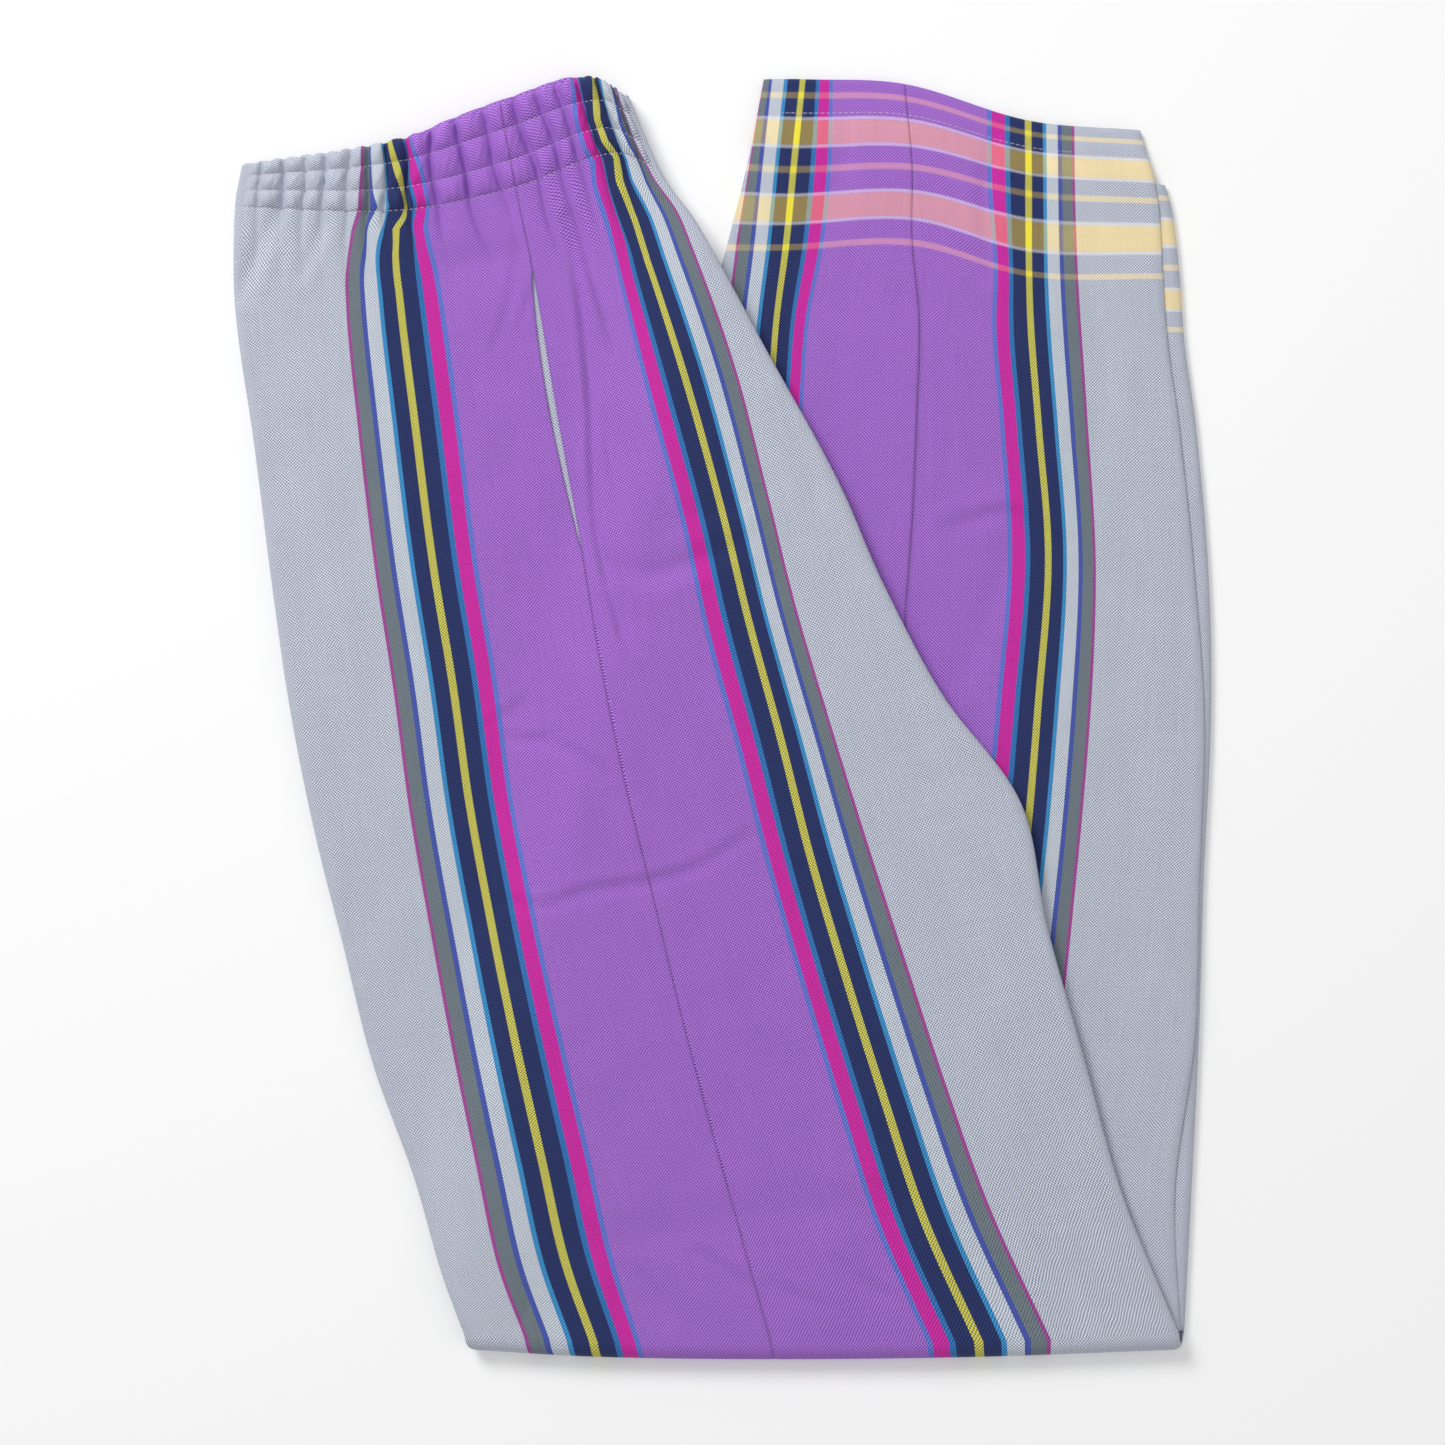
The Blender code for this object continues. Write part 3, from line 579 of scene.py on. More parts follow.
def lay_row(row: Row, columns: Columns, depth: float, drop: float) -> tuple[np.ndarray, np.ndarray]:
    """Cloth points of a row, and where each lies across the woven stripes.

    Args:
        row: The row.
        columns: Places across it.
        depth: How deep below the cloth's outer face the points lie.
        drop: How far the folded edge drops.

    Returns:
        Points in millimetres, and their cloth distance from the yellow line, towards the seam.
    """
    knots = running(row.points)
    lip = np.radians(columns.lip)
    inset = TURN_IN - (TURN_IN - depth) * np.sin(np.minimum(lip, np.pi * 0.5))
    sink = depth + max(drop - depth, 0.4) * (1.0 - np.cos(lip))
    inset = np.where(lip > np.pi * 0.5, TURN_IN - (TURN_IN - depth) * np.sin(lip), inset)
    flat = np.vstack((inset, *[np.full(len(lip), knot) for knot in knots[1:4]], knots[4] - inset))
    whole = np.clip(columns.knot.astype(int), 0, 3)
    reach = np.arange(len(lip))
    low = flat[whole, reach]
    where = low + (columns.knot - whole) * (flat[whole + 1, reach] - low) + columns.shift
    spots = smooth(row.points, knots, where)
    seam_gap = np.abs(where - knots[2])
    dip = SEAM_DIP * np.exp(-(seam_gap / SEAM_SOFT) ** 2)
    if row.way is Way.TOP:
        level = row.face(spots, row.along)
        if row.gathered:
            edge = np.clip(np.minimum(columns.knot, 4.0 - columns.knot) / 0.1, 0.0, 1.0)
            level = level + edge * gather_relief(where / knots[-1], knots[-1], row.along)
        points = np.column_stack((spots, level - sink - dip))
    else:
        out = FOLD_REACH * math.sin(row.turn)
        level = FOLD_HEIGHT * 0.5 * (1.0 + math.cos(row.turn))
        normal = np.array((0.0, -math.sin(row.turn) / FOLD_REACH, math.cos(row.turn) * 2.0 / FOLD_HEIGHT))
        normal /= np.linalg.norm(normal)
        base = np.column_stack((spots[:, 0], spots[:, 1] - out, np.full(len(lip), level)))
        sunk = sink + dip if row.way is Way.FOLD else sink
        points = base - sunk[:, None] * normal
    return points, stripe_place(row, columns, where, knots)


def stripe_place(row: Row, columns: Columns, where: np.ndarray, knots: np.ndarray) -> np.ndarray:
    """Cloth distance from the nearer yellow line, towards the seam, at the stripes' flat size.

    Args:
        row: The row.
        columns: Places across it.
        where: Distances from the left edge.
        knots: Running lengths of the section's five points.

    Returns:
        Distance for each column.
    """
    seen = gathered_across(where, knots[-1], row.along) if row.gathered else where
    if row.gathered and row.along < FRONT_DRIFT[-1][0]:
        for knot, drift in ((knots[1], FRONT_DRIFT), (knots[3], BACK_DRIFT)):
            shift = np.interp(row.along, [entry[0] for entry in drift], [entry[1] for entry in drift])
            seen = seen - shift * np.exp(-((where - knot) / DRIFT_REACH) ** 2)
    wrap = np.radians(columns.lip) * TURN_IN * 0.8
    front = columns.knot <= 2.0
    reach = np.where(front, seen - knots[1], knots[3] - seen)
    outer = np.where(front, row.groups[0], row.groups[3])
    inner = np.where(front, row.groups[1], row.groups[2])
    field_side = -np.where(-reach < outer, -reach * GROUP_OUT / outer, GROUP_OUT - reach - outer)
    band_side = np.where(reach < inner, reach * GROUP_IN / inner, GROUP_IN + reach - inner)
    return np.where(reach < 0.0, field_side - wrap, band_side)


def columns_for(front: bool, count: int, lips: Sequence[float], shift: float = 0.0,
                seam_gap: float = SEAM_GAP) -> Columns:
    """Columns of a front or back panel, its folded edge included.

    Args:
        front: True for the panel left of the seam.
        count: Number of flat columns.
        lips: Angles of the folded edge's columns, in degrees, from the outermost in.
        shift: How far a front panel's seam edge stands back.
        seam_gap: Half the gap between the panels at the seam.

    Returns:
        The columns, left to right.
    """
    share = np.linspace(0.0, 1.0, count)
    knot = 2.0 * share
    lip = np.zeros(count)
    away = np.zeros(count)
    near = np.array(sorted(lips, reverse=True), dtype=float)
    if front:
        knot = np.concatenate((np.zeros(len(near)), knot))
        lip = np.concatenate((near, lip))
        away = np.concatenate((np.zeros(len(near)), away))
        # the last columns follow the slit, so that its edge alone stands back
        pull = ease(np.concatenate((np.zeros(len(near)), share)), 0.9, 1.0)
        away = away - shift * pull
        away[-1] -= seam_gap
        return Columns(knot, lip, away)
    knot = np.concatenate((2.0 + knot, np.full(len(near), 4.0)))
    lip = np.concatenate((lip, near[::-1]))
    away = np.concatenate((away, np.zeros(len(near))))
    away[0] += seam_gap
    return Columns(knot, lip, away)


def whole_columns(count: int, lips: Sequence[float]) -> Columns:
    """Columns across both panels, their folded edges included."""
    left = columns_for(True, count, lips)
    right = columns_for(False, count, lips)
    knot = np.concatenate((left.knot[:-1], right.knot))
    lip = np.concatenate((left.lip[:-1], right.lip))
    return Columns(knot, lip, np.zeros(len(knot)))


def steps(low: float, high: float, step: float) -> list[float]:
    """Even places from low to high, no further apart than step."""
    count = max(1, math.ceil(abs(high - low) / step))
    return [low + (high - low) * index / count for index in range(count + 1)]


@dataclass
class Sheet:
    """A sheet of cloth laid out row by row."""

    name: str
    points: np.ndarray
    stripes: np.ndarray
    hems: np.ndarray

    @classmethod
    def lay(cls, name: str, rows: Sequence[Row], columns: Callable[[Row], Columns], depth: float = 0.0,
            drop: float = TURN_DROP) -> "Sheet":
        """Lays a sheet over rows.

        Args:
            name: Piece's name.
            rows: Rows, each further towards +Y on an upper face.
            columns: Gives each row's columns.
            depth: Depth below the outer face.
            drop: Drop of the folded edge.

        Returns:
            The sheet.
        """
        points = []
        stripes = []
        hems = []
        for row in rows:
            laid, stripe = lay_row(row, columns(row), depth, drop)
            points.append(laid)
            stripes.append(stripe)
            hems.append(np.full(len(stripe), row.hem))
        return cls(name, np.array(points), np.array(stripes), np.array(hems))

    def cut(self) -> tuple[float, float, float]:
        """Width, length and area of the cloth, in metres."""
        across = np.linalg.norm(np.diff(self.points, axis=1), axis=2).sum(axis=1)
        down = np.linalg.norm(np.diff(self.points, axis=0), axis=2).sum(axis=0)
        side_a = self.points[1:, :-1] - self.points[:-1, :-1]
        side_b = self.points[:-1, 1:] - self.points[:-1, :-1]
        area = np.linalg.norm(np.cross(side_a, side_b), axis=2).sum()
        return float(across.max()) * MM, float(down.max()) * MM, float(area) * MM * MM

    def make(self, thickness: float) -> bpy.types.Object:
        """Makes the sheet from a grid, moved point by point, and gives it its thickness.

        Args:
            thickness: Cloth thickness, inwards from the laid face.

        Returns:
            The piece, with its weave places as a UV map.
        """
        rows, count = self.stripes.shape
        bpy.ops.object.select_all(action="DESELECT")
        bpy.ops.mesh.primitive_grid_add(x_subdivisions=count - 1, y_subdivisions=rows - 1, size=1.0)
        piece = bpy.context.object
        piece.name = self.name
        mesh = piece.data
        mesh.name = self.name
        mesh.vertices.foreach_set("co", (self.points * MM).astype(np.float32).ravel())
        while mesh.uv_layers:
            mesh.uv_layers.remove(mesh.uv_layers[0])
        layer = mesh.uv_layers.new(name="weave")
        corners = np.empty(len(mesh.loops), dtype=np.int32)
        mesh.loops.foreach_get("vertex_index", corners)
        places = np.column_stack((self.stripes.ravel(), self.hems.ravel()))[corners] * MM
        layer.data.foreach_set("uv", places.astype(np.float32).ravel())
        mesh.polygons.foreach_set("use_smooth", np.ones(len(mesh.polygons), dtype=bool))
        mesh.update()
        if thickness > 0.0:
            shell = piece.modifiers.new("cloth", "SOLIDIFY")
            shell.thickness = thickness * MM
            shell.offset = -1.0
            shell.use_rim = True
            bpy.ops.object.modifier_apply(modifier=shell.name)
        return piece


class Wire:
    """Shader value that follows Python arithmetic."""

    def __init__(self, desk: "Desk", socket: Any) -> None:
        """Wraps a node's output socket."""
        self.desk = desk
        self.socket = socket

    def math(self, operation: str, *others: Any, clamp: bool = False) -> "Wire":
        """Result of a Math node on this value and others."""
        inputs = {0: self, **{index + 1: other for index, other in enumerate(others)}}
        made = self.desk.node("ShaderNodeMath", {"operation": operation, "use_clamp": clamp}, inputs)
        return Wire(self.desk, made.outputs[0])

    def __add__(self, other: Any) -> "Wire":
        """Sum."""
        return self.math("ADD", other)

    __radd__ = __add__

    def __sub__(self, other: Any) -> "Wire":
        """Difference."""
        return self.math("SUBTRACT", other)

    def __rsub__(self, other: Any) -> "Wire":
        """Difference from a number."""
        return (self * -1.0) + other

    def __mul__(self, other: Any) -> "Wire":
        """Product."""
        return self.math("MULTIPLY", other)

    __rmul__ = __mul__

    def __truediv__(self, other: Any) -> "Wire":
        """Quotient."""
        return self.math("DIVIDE", other)

    def within(self, low: float, high: float, soft: float) -> "Wire":
        """Share, 1 between two values and falling to 0 over a soft edge."""
        middle = 0.5 * (low + high)
        half = 0.5 * (high - low)
        return ((half - (self - middle).math("ABSOLUTE")) / soft + 0.5).math("ADD", 0.0, clamp=True)


class Desk:
    """Node tree of one material."""

    def __init__(self, name: str) -> None:
        """Starts an empty material."""
        self.material = bpy.data.materials.new(name)
        self.material.use_nodes = True
        self.tree = self.material.node_tree
        self.tree.nodes.clear()

    def node(self, kind: str, settings: dict[str, Any], inputs: dict[Any, Any]) -> Any:
        """Adds a node.

        Args:
            kind: Node type.
            settings: Settings, made first; "stops" holds a ramp's places and colours.
            inputs: Values or links, by socket name or number.

        Returns:
            The node.
        """
        made = self.tree.nodes.new(kind)
        for key, value in settings.items():
            if key == "stops":
                ramp = made.color_ramp
                ramp.interpolation = settings["blend"]
                while len(ramp.elements) > 1:
                    ramp.elements.remove(ramp.elements[-1])
                ramp.elements[0].position = value[0][0]
                ramp.elements[0].color = value[0][1]
                for place, colour in value[1:]:
                    ramp.elements.new(place).color = colour
            elif key != "blend":
                setattr(made, key, value)
        for key, value in inputs.items():
            socket = made.inputs[key]
            if isinstance(value, Wire):
                self.tree.links.new(value.socket, socket)
            else:
                socket.default_value = value
        return made

    def mix(self, share: Any, first: Any, second: Any, how: str = "MIX") -> Wire:
        """Mix of two colours by a share."""
        made = self.node("ShaderNodeMix", {"data_type": "RGBA", "blend_type": how},
                         {0: share, 6: first, 7: second})
        return Wire(self, made.outputs[2])

    def finish(self, shader: Any) -> bpy.types.Material:
        """Links the shader to the output and returns the material."""
        output = self.node("ShaderNodeOutputMaterial", {}, {})
        self.tree.links.new(shader.outputs[0], output.inputs[0])
        return self.material


def linear(red: float, green: float, blue: float) -> tuple[float, float, float, float]:
    """Linear colour from screen values of 0 to 255."""
    def channel(value: float) -> float:
        """One channel."""
        value /= 255.0
        return value / 12.92 if value <= 0.04045 else ((value + 0.055) / 1.055) ** 2.4

    return (channel(red), channel(green), channel(blue), 1.0)


class Stripe(NamedTuple):
    """Warp stripe: its start, and the colours of its warp, of the weft over it and of a band's weft."""

    name: str
    start: float
    warp: tuple[float, float, float]
    crossed: tuple[float, float, float]
    golden: tuple[float, float, float]


STRIPES = (
    Stripe("pale field", -40.0, (236, 236, 240), (122, 138, 172), (255, 222, 112)),
    Stripe("thin magenta", -26.2, (206, 76, 166), (92, 74, 134), (226, 170, 110)),
    Stripe("grey", -24.5, (136, 144, 142), (80, 98, 120), (196, 182, 104)),
    Stripe("royal blue", -18.9, (86, 92, 196), (56, 86, 144), (176, 156, 112)),
    Stripe("white", -16.5, (240, 242, 244), (132, 150, 178), (255, 226, 128)),
    Stripe("cyan", -10.0, (80, 176, 232), (26, 92, 156), (196, 196, 112)),
    Stripe("outer navy", -8.1, (52, 62, 116), (22, 38, 82), (190, 164, 50)),
    Stripe("yellow", -1.6, (246, 236, 88), (118, 124, 88), (255, 236, 50)),
    Stripe("inner navy", 1.6, (52, 62, 116), (22, 38, 82), (190, 164, 50)),
    Stripe("blue", 8.1, (66, 142, 214), (30, 78, 140), (190, 184, 110)),
    Stripe("magenta", 10.3, (236, 52, 184), (166, 34, 138), (236, 136, 100)),
    Stripe("light blue", 16.2, (116, 148, 232), (78, 78, 180), (222, 188, 130)),
    Stripe("purple band", 18.1, (196, 136, 236), (118, 66, 164), (240, 168, 122)),
)
# Weft bands, by distance from the hem edge
WIDE_BANDS = ((14.5, 26.5), (44.0, 56.5))
THIN_BANDS = ((5.0, 7.4), (33.4, 36.0), (64.4, 67.0))
BAND_BORDER = 1.4

STRIPE_LOW = -40.0
STRIPE_HIGH = 24.0


@dataclass(frozen=True)
class KikoyWeave:
    """Plain-woven kikoy cotton: warp stripes across, weft bands near a hem."""

    name: str
    thread: float = 0.64
    relief: float = 0.13
    wrinkle: float = 0.5

    def stripe_ramp(self, desk: Desk, across: Wire, column: str) -> Wire:
        """Colour ramp over the stripes, from one column of their table."""
        span = STRIPE_HIGH - STRIPE_LOW
        stops = [((stripe.start - STRIPE_LOW) / span, linear(*getattr(stripe, column))) for stripe in STRIPES]
        place = (across - STRIPE_LOW) / span
        made = desk.node("ShaderNodeValToRGB", {"blend": "CONSTANT", "stops": stops},
                         {0: place.math("ADD", 0.0, clamp=True)})
        return Wire(desk, made.outputs[0])

    def material(self) -> bpy.types.Material:
        """Builds the cloth's nodes."""
        desk = Desk(self.name)
        place = desk.node("ShaderNodeUVMap", {"uv_map": "weave"}, {})
        split = desk.node("ShaderNodeSeparateXYZ", {}, {0: Wire(desk, place.outputs[0])})
        across = Wire(desk, split.outputs[0]) * 1000.0
        down = Wire(desk, split.outputs[1]) * 1000.0
        # hand-woven threads wander a little from an even pitch
        stray = self.noise(desk, across * 0.11, down * 0.13, 2.0) - 0.5
        stray_down = self.noise(desk, across * 0.13 + 31.0, down * 0.09 + 17.0, 2.0) - 0.5
        turn = math.pi / self.thread
        wave_a = ((across + stray * 1.1) * turn).math("SINE")
        wave_d = ((down + stray_down * 1.1) * turn).math("SINE")
        spots = self.noise(desk, across * 1.1, down * 1.1, 2.0)
        over = (wave_a * wave_d * 2.6 + spots * 0.7 + 0.15).math("ADD", 0.0, clamp=True)
        warp_streak = self.noise(desk, across * 1.5, down * 0.03, 3.0)
        weft_streak = self.noise(desk, across * 0.025, down * 1.5, 3.0)
        mottle = self.noise(desk, across * 0.06, down * 0.045, 3.0)
        warp = self.stripe_ramp(desk, across, "warp")
        crossed = self.stripe_ramp(desk, across, "crossed")
        golden = self.stripe_ramp(desk, across, "golden")
        wide = self.bands(down, WIDE_BANDS, 0.0, 0.5)
        core = self.bands(down, WIDE_BANDS, BAND_BORDER, 0.4)
        thin = self.bands(down, THIN_BANDS, 0.0, 0.4)
        white = (wide - core).math("MAXIMUM", 0.0)
        gold = core + thin * 0.78
        crossed = desk.mix(white.math("MULTIPLY", 0.72, clamp=True), crossed, linear(246, 240, 236))
        crossed = desk.mix(gold.math("MULTIPLY", 0.94, clamp=True), crossed, golden)
        warp = desk.mix(core.math("MULTIPLY", 0.22, clamp=True), warp, golden)
        tone = desk.mix(over, crossed, warp)
        shade = 0.79 + 0.16 * warp_streak + 0.12 * weft_streak + 0.1 * spots + 0.08 * mottle
        grey = desk.node("ShaderNodeCombineXYZ", {}, {0: shade, 1: shade, 2: shade})
        tone = desk.mix(1.0, tone, Wire(desk, grey.outputs[0]), "MULTIPLY")
        roughness = 0.86 - 0.08 * over
        crown = wave_a.math("ABSOLUTE") * wave_d.math("ABSOLUTE")
        height = crown + 0.3 * warp_streak + 0.3 * weft_streak + 0.15 * over
        folds = self.noise(desk, across * 0.1, down * 0.028, 3.0)
        soft = desk.node("ShaderNodeBump", {}, {
            "Strength": 1.0, "Distance": self.wrinkle * MM, "Height": folds})
        bump = desk.node("ShaderNodeBump", {}, {
            "Strength": 0.6, "Distance": self.relief * MM, "Height": height,
            "Normal": Wire(desk, soft.outputs[0])})
        shader = desk.node("ShaderNodeBsdfPrincipled", {}, {
            "Base Color": tone, "Roughness": roughness, "Normal": Wire(desk, bump.outputs[0]),
            "Specular IOR Level": 0.22, "Sheen Weight": 0.08, "Sheen Roughness": 0.5})
        return desk.finish(shader)

    @staticmethod
    def bands(down: Wire, places: Sequence[Spot], border: float, soft: float) -> Wire:
        """Share of weft bands, each kept a border's width inside its edges."""
        shares = [down.within(low + border, high - border, soft) for low, high in places]
        total = shares[0]
        for share in shares[1:]:
            total = total + share
        return total

    @staticmethod
    def noise(desk: Desk, across: Wire, down: Wire, detail: float) -> Wire:
        """Noise over the cloth, from 0 to 1."""
        place = desk.node("ShaderNodeCombineXYZ", {}, {0: across, 1: down, 2: 0.0})
        made = desk.node("ShaderNodeTexNoise", {"noise_dimensions": "2D"},
                         {"Vector": Wire(desk, place.outputs[0]), "Scale": 1.0, "Detail": detail})
        return Wire(desk, made.outputs[0])


@dataclass(frozen=True)
class SewingThread:
    """Spun sewing thread, twisted along the stitch."""

    name: str
    colour: tuple[float, float, float]

    def material(self) -> bpy.types.Material:
        """Builds the thread's nodes."""
        desk = Desk(self.name)
        place = desk.node("ShaderNodeTexCoord", {}, {})
        made = desk.node("ShaderNodeTexNoise", {}, {"Vector": Wire(desk, place.outputs["Object"]),
                                                    "Scale": 900.0, "Detail": 2.0})
        grain = Wire(desk, made.outputs[0])
        dark = linear(*[value * 0.82 for value in self.colour])
        tone = desk.mix(grain, dark, linear(*self.colour))
        bump = desk.node("ShaderNodeBump", {}, {"Strength": 0.5, "Distance": 0.05 * MM, "Height": grain})
        shader = desk.node("ShaderNodeBsdfPrincipled", {}, {
            "Base Color": tone, "Roughness": 0.7, "Normal": Wire(desk, bump.outputs[0])})
        return desk.finish(shader)


@dataclass(frozen=True)
class PaleFloor:
    """Plain pale studio floor."""

    name: str = "pale_floor"

    def material(self) -> bpy.types.Material:
        """Builds the floor's nodes."""
        desk = Desk(self.name)
        shader = desk.node("ShaderNodeBsdfPrincipled", {}, {
            "Base Color": (0.93, 0.93, 0.93, 1.0), "Roughness": 0.9,
            "Emission Color": (1.0, 1.0, 1.0, 1.0), "Emission Strength": 0.12})
        return desk.finish(shader)


def dress(piece: bpy.types.Object, material: bpy.types.Material) -> None:
    """Gives a piece its material and its body."""
    piece.data.materials.clear()
    piece.data.materials.append(material)
    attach(piece, BODY)


def declare(piece: bpy.types.Object, sheet: Sheet) -> None:
    """States the cut of a sheet of cloth."""
    width, length, area = sheet.cut()
    LOG.info("%s: %.0f x %.0f mm, %.4f square metres", piece.name, width / MM, length / MM, area)


LIPS = (90.0, 72.0, 54.0, 36.0, 18.0)
WAIST_ROLL = 1.7
ROLL_REACH = 2.4
WAIST_WAVE = 0.42
WAVE_REACH = 6.0
FOLD_TURNS = tuple(range(12, 180, 12))


def roll_waist_edge(sheet: Sheet, rows: Sequence[Row], drop: float) -> None:
    """Rolls the casing's edge over its elastic, and lets it wave with the gathers.

    Args:
        sheet: Sheet whose last rows are at the waist edge.
        rows: Its rows.
        drop: How far the edge drops.
    """
    across = running(sheet.points[-1])
    share = across / across[-1]
    crest = gather_relief(share, float(across[-1]), 5.5)
    wave = crest - crest.mean()
    for index, row in enumerate(rows):
        near = max(0.0, 1.0 - row.along / ROLL_REACH)
        sheet.points[index, :, 2] -= drop * (1.0 - math.sqrt(1.0 - near * near))
        sheet.points[index, :, 1] += WAIST_WAVE * wave * max(0.0, 1.0 - row.along / WAVE_REACH)


@dataclass
class LeftLeg:
    """The leg on top: casing, panel over the knee fold, and its folded-under part on the surface."""

    weave: bpy.types.Material
    step: float = 1.3
    far_step: float = 2.3
    below_step: float = 8.0
    columns: int = 126
    casing_step: float = 0.5
    casing_front_columns: int = 190
    casing_back_columns: int = 120
    below_pocket: float = 20.0
    facing_step: float = 1.5
    facing_depth: float = 0.95
    facing_side: Spot = (-9.0, 3.2)
    facing_columns: int = 12
    facing_stripe: float = -34.0

    def casing(self, front: bool) -> None:
        """Half of the gathered waist casing."""
        side = "front" if front else "back"
        rows = [upper_row(along) for along in reversed(steps(0.0, STITCH_ROWS[-1], self.casing_step))]
        count = self.casing_front_columns if front else self.casing_back_columns

        def columns(row: Row) -> Columns:
            return columns_for(front, count, LIPS)

        sheet = Sheet.lay("casing_" + side + "_cloth", rows, columns)
        roll_waist_edge(sheet, rows, WAIST_ROLL)
        piece = sheet.make(CASING)
        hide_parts("waist_casing_" + side)
        dress(piece, self.weave)
        declare(piece, sheet)

    def panel(self, front: bool) -> None:
        """Front or back panel, from the casing round the knee fold to its hem below."""
        side = "front" if front else "back"
        rows = [below_row(along) for along in reversed(steps(0.0, LEFT_HEM_AT, self.below_step))]
        rows += [fold_row(math.radians(turn)) for turn in reversed(FOLD_TURNS)]
        fine_end = POCKET_END + self.below_pocket
        places = steps(STITCH_ROWS[-1], fine_end, self.step)
        places += steps(fine_end, UPPER_STRETCH.length, self.far_step)[1:]
        rows += [upper_row(along) for along in reversed(places)]

        def columns(row: Row) -> Columns:
            shift = slit(row.along) if front and row.gathered else 0.0
            return columns_for(front, self.columns, LIPS, shift)

        sheet = Sheet.lay("left_leg_" + side + "_cloth", rows, columns)
        piece = sheet.make(CLOTH)
        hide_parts("left_leg_" + side, "left_hem_" + side)
        dress(piece, self.weave)
        declare(piece, sheet)

    def facing(self) -> None:
        """Pale facing in the pocket slit."""
        places = steps(POCKET_TOP - 2.0, POCKET_END + 6.0, self.facing_step)
        rows = [upper_row(along) for along in reversed(places)]
        count = self.facing_columns
        shift = np.linspace(*self.facing_side, count)
        columns = Columns(np.full(count, 2.0), np.zeros(count), shift)
        sheet = Sheet.lay("pocket_facing_cloth", rows, lambda row: columns, self.facing_depth)
        sheet.stripes[:] = self.facing_stripe + shift
        piece = sheet.make(CLOTH)
        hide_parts("pocket_facing")
        dress(piece, self.weave)
        declare(piece, sheet)

    def build(self) -> None:
        """All pieces of the leg on top."""
        for front in (True, False):
            self.casing(front)
            self.panel(front)
        self.facing()


@dataclass
class RightLeg:
    """The leg whose folded-under stretch shows at the right."""

    weave: bpy.types.Material
    step: float = 1.8
    columns: int = 84
    hem_proud: float = 0.3
    hem_edge_drop: float = 0.5

    def build(self) -> None:
        """Front and back panel from the knee fold to the hem."""
        rows = [right_row(along) for along in steps(0.5, RIGHT_LEG.length, self.step)]
        for front in (True, False):
            side = "front" if front else "back"

            def columns(row: Row, front: bool = front) -> Columns:
                return columns_for(front, self.columns, LIPS)

            sheet = Sheet.lay("right_leg_" + side + "_cloth", rows, columns, 0.0, RIGHT_TURN_DROP)
            # the turned hem is double cloth, a little proud up to its stitching
            hem = sheet.hems[:, 0]
            proud = self.hem_proud * (ease(hem, HEM_WIDTH + 0.6, HEM_WIDTH - 0.6)
                                      - np.exp(-((hem - HEM_WIDTH) / 0.7) ** 2))
            edge = self.hem_edge_drop * ease(hem, 1.2, 0.0)
            sheet.points[:, :, 2] += (proud - edge)[:, None]
            piece = sheet.make(CLOTH)
            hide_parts("right_leg_" + side, "right_hem_" + side)
            dress(piece, self.weave)
            declare(piece, sheet)


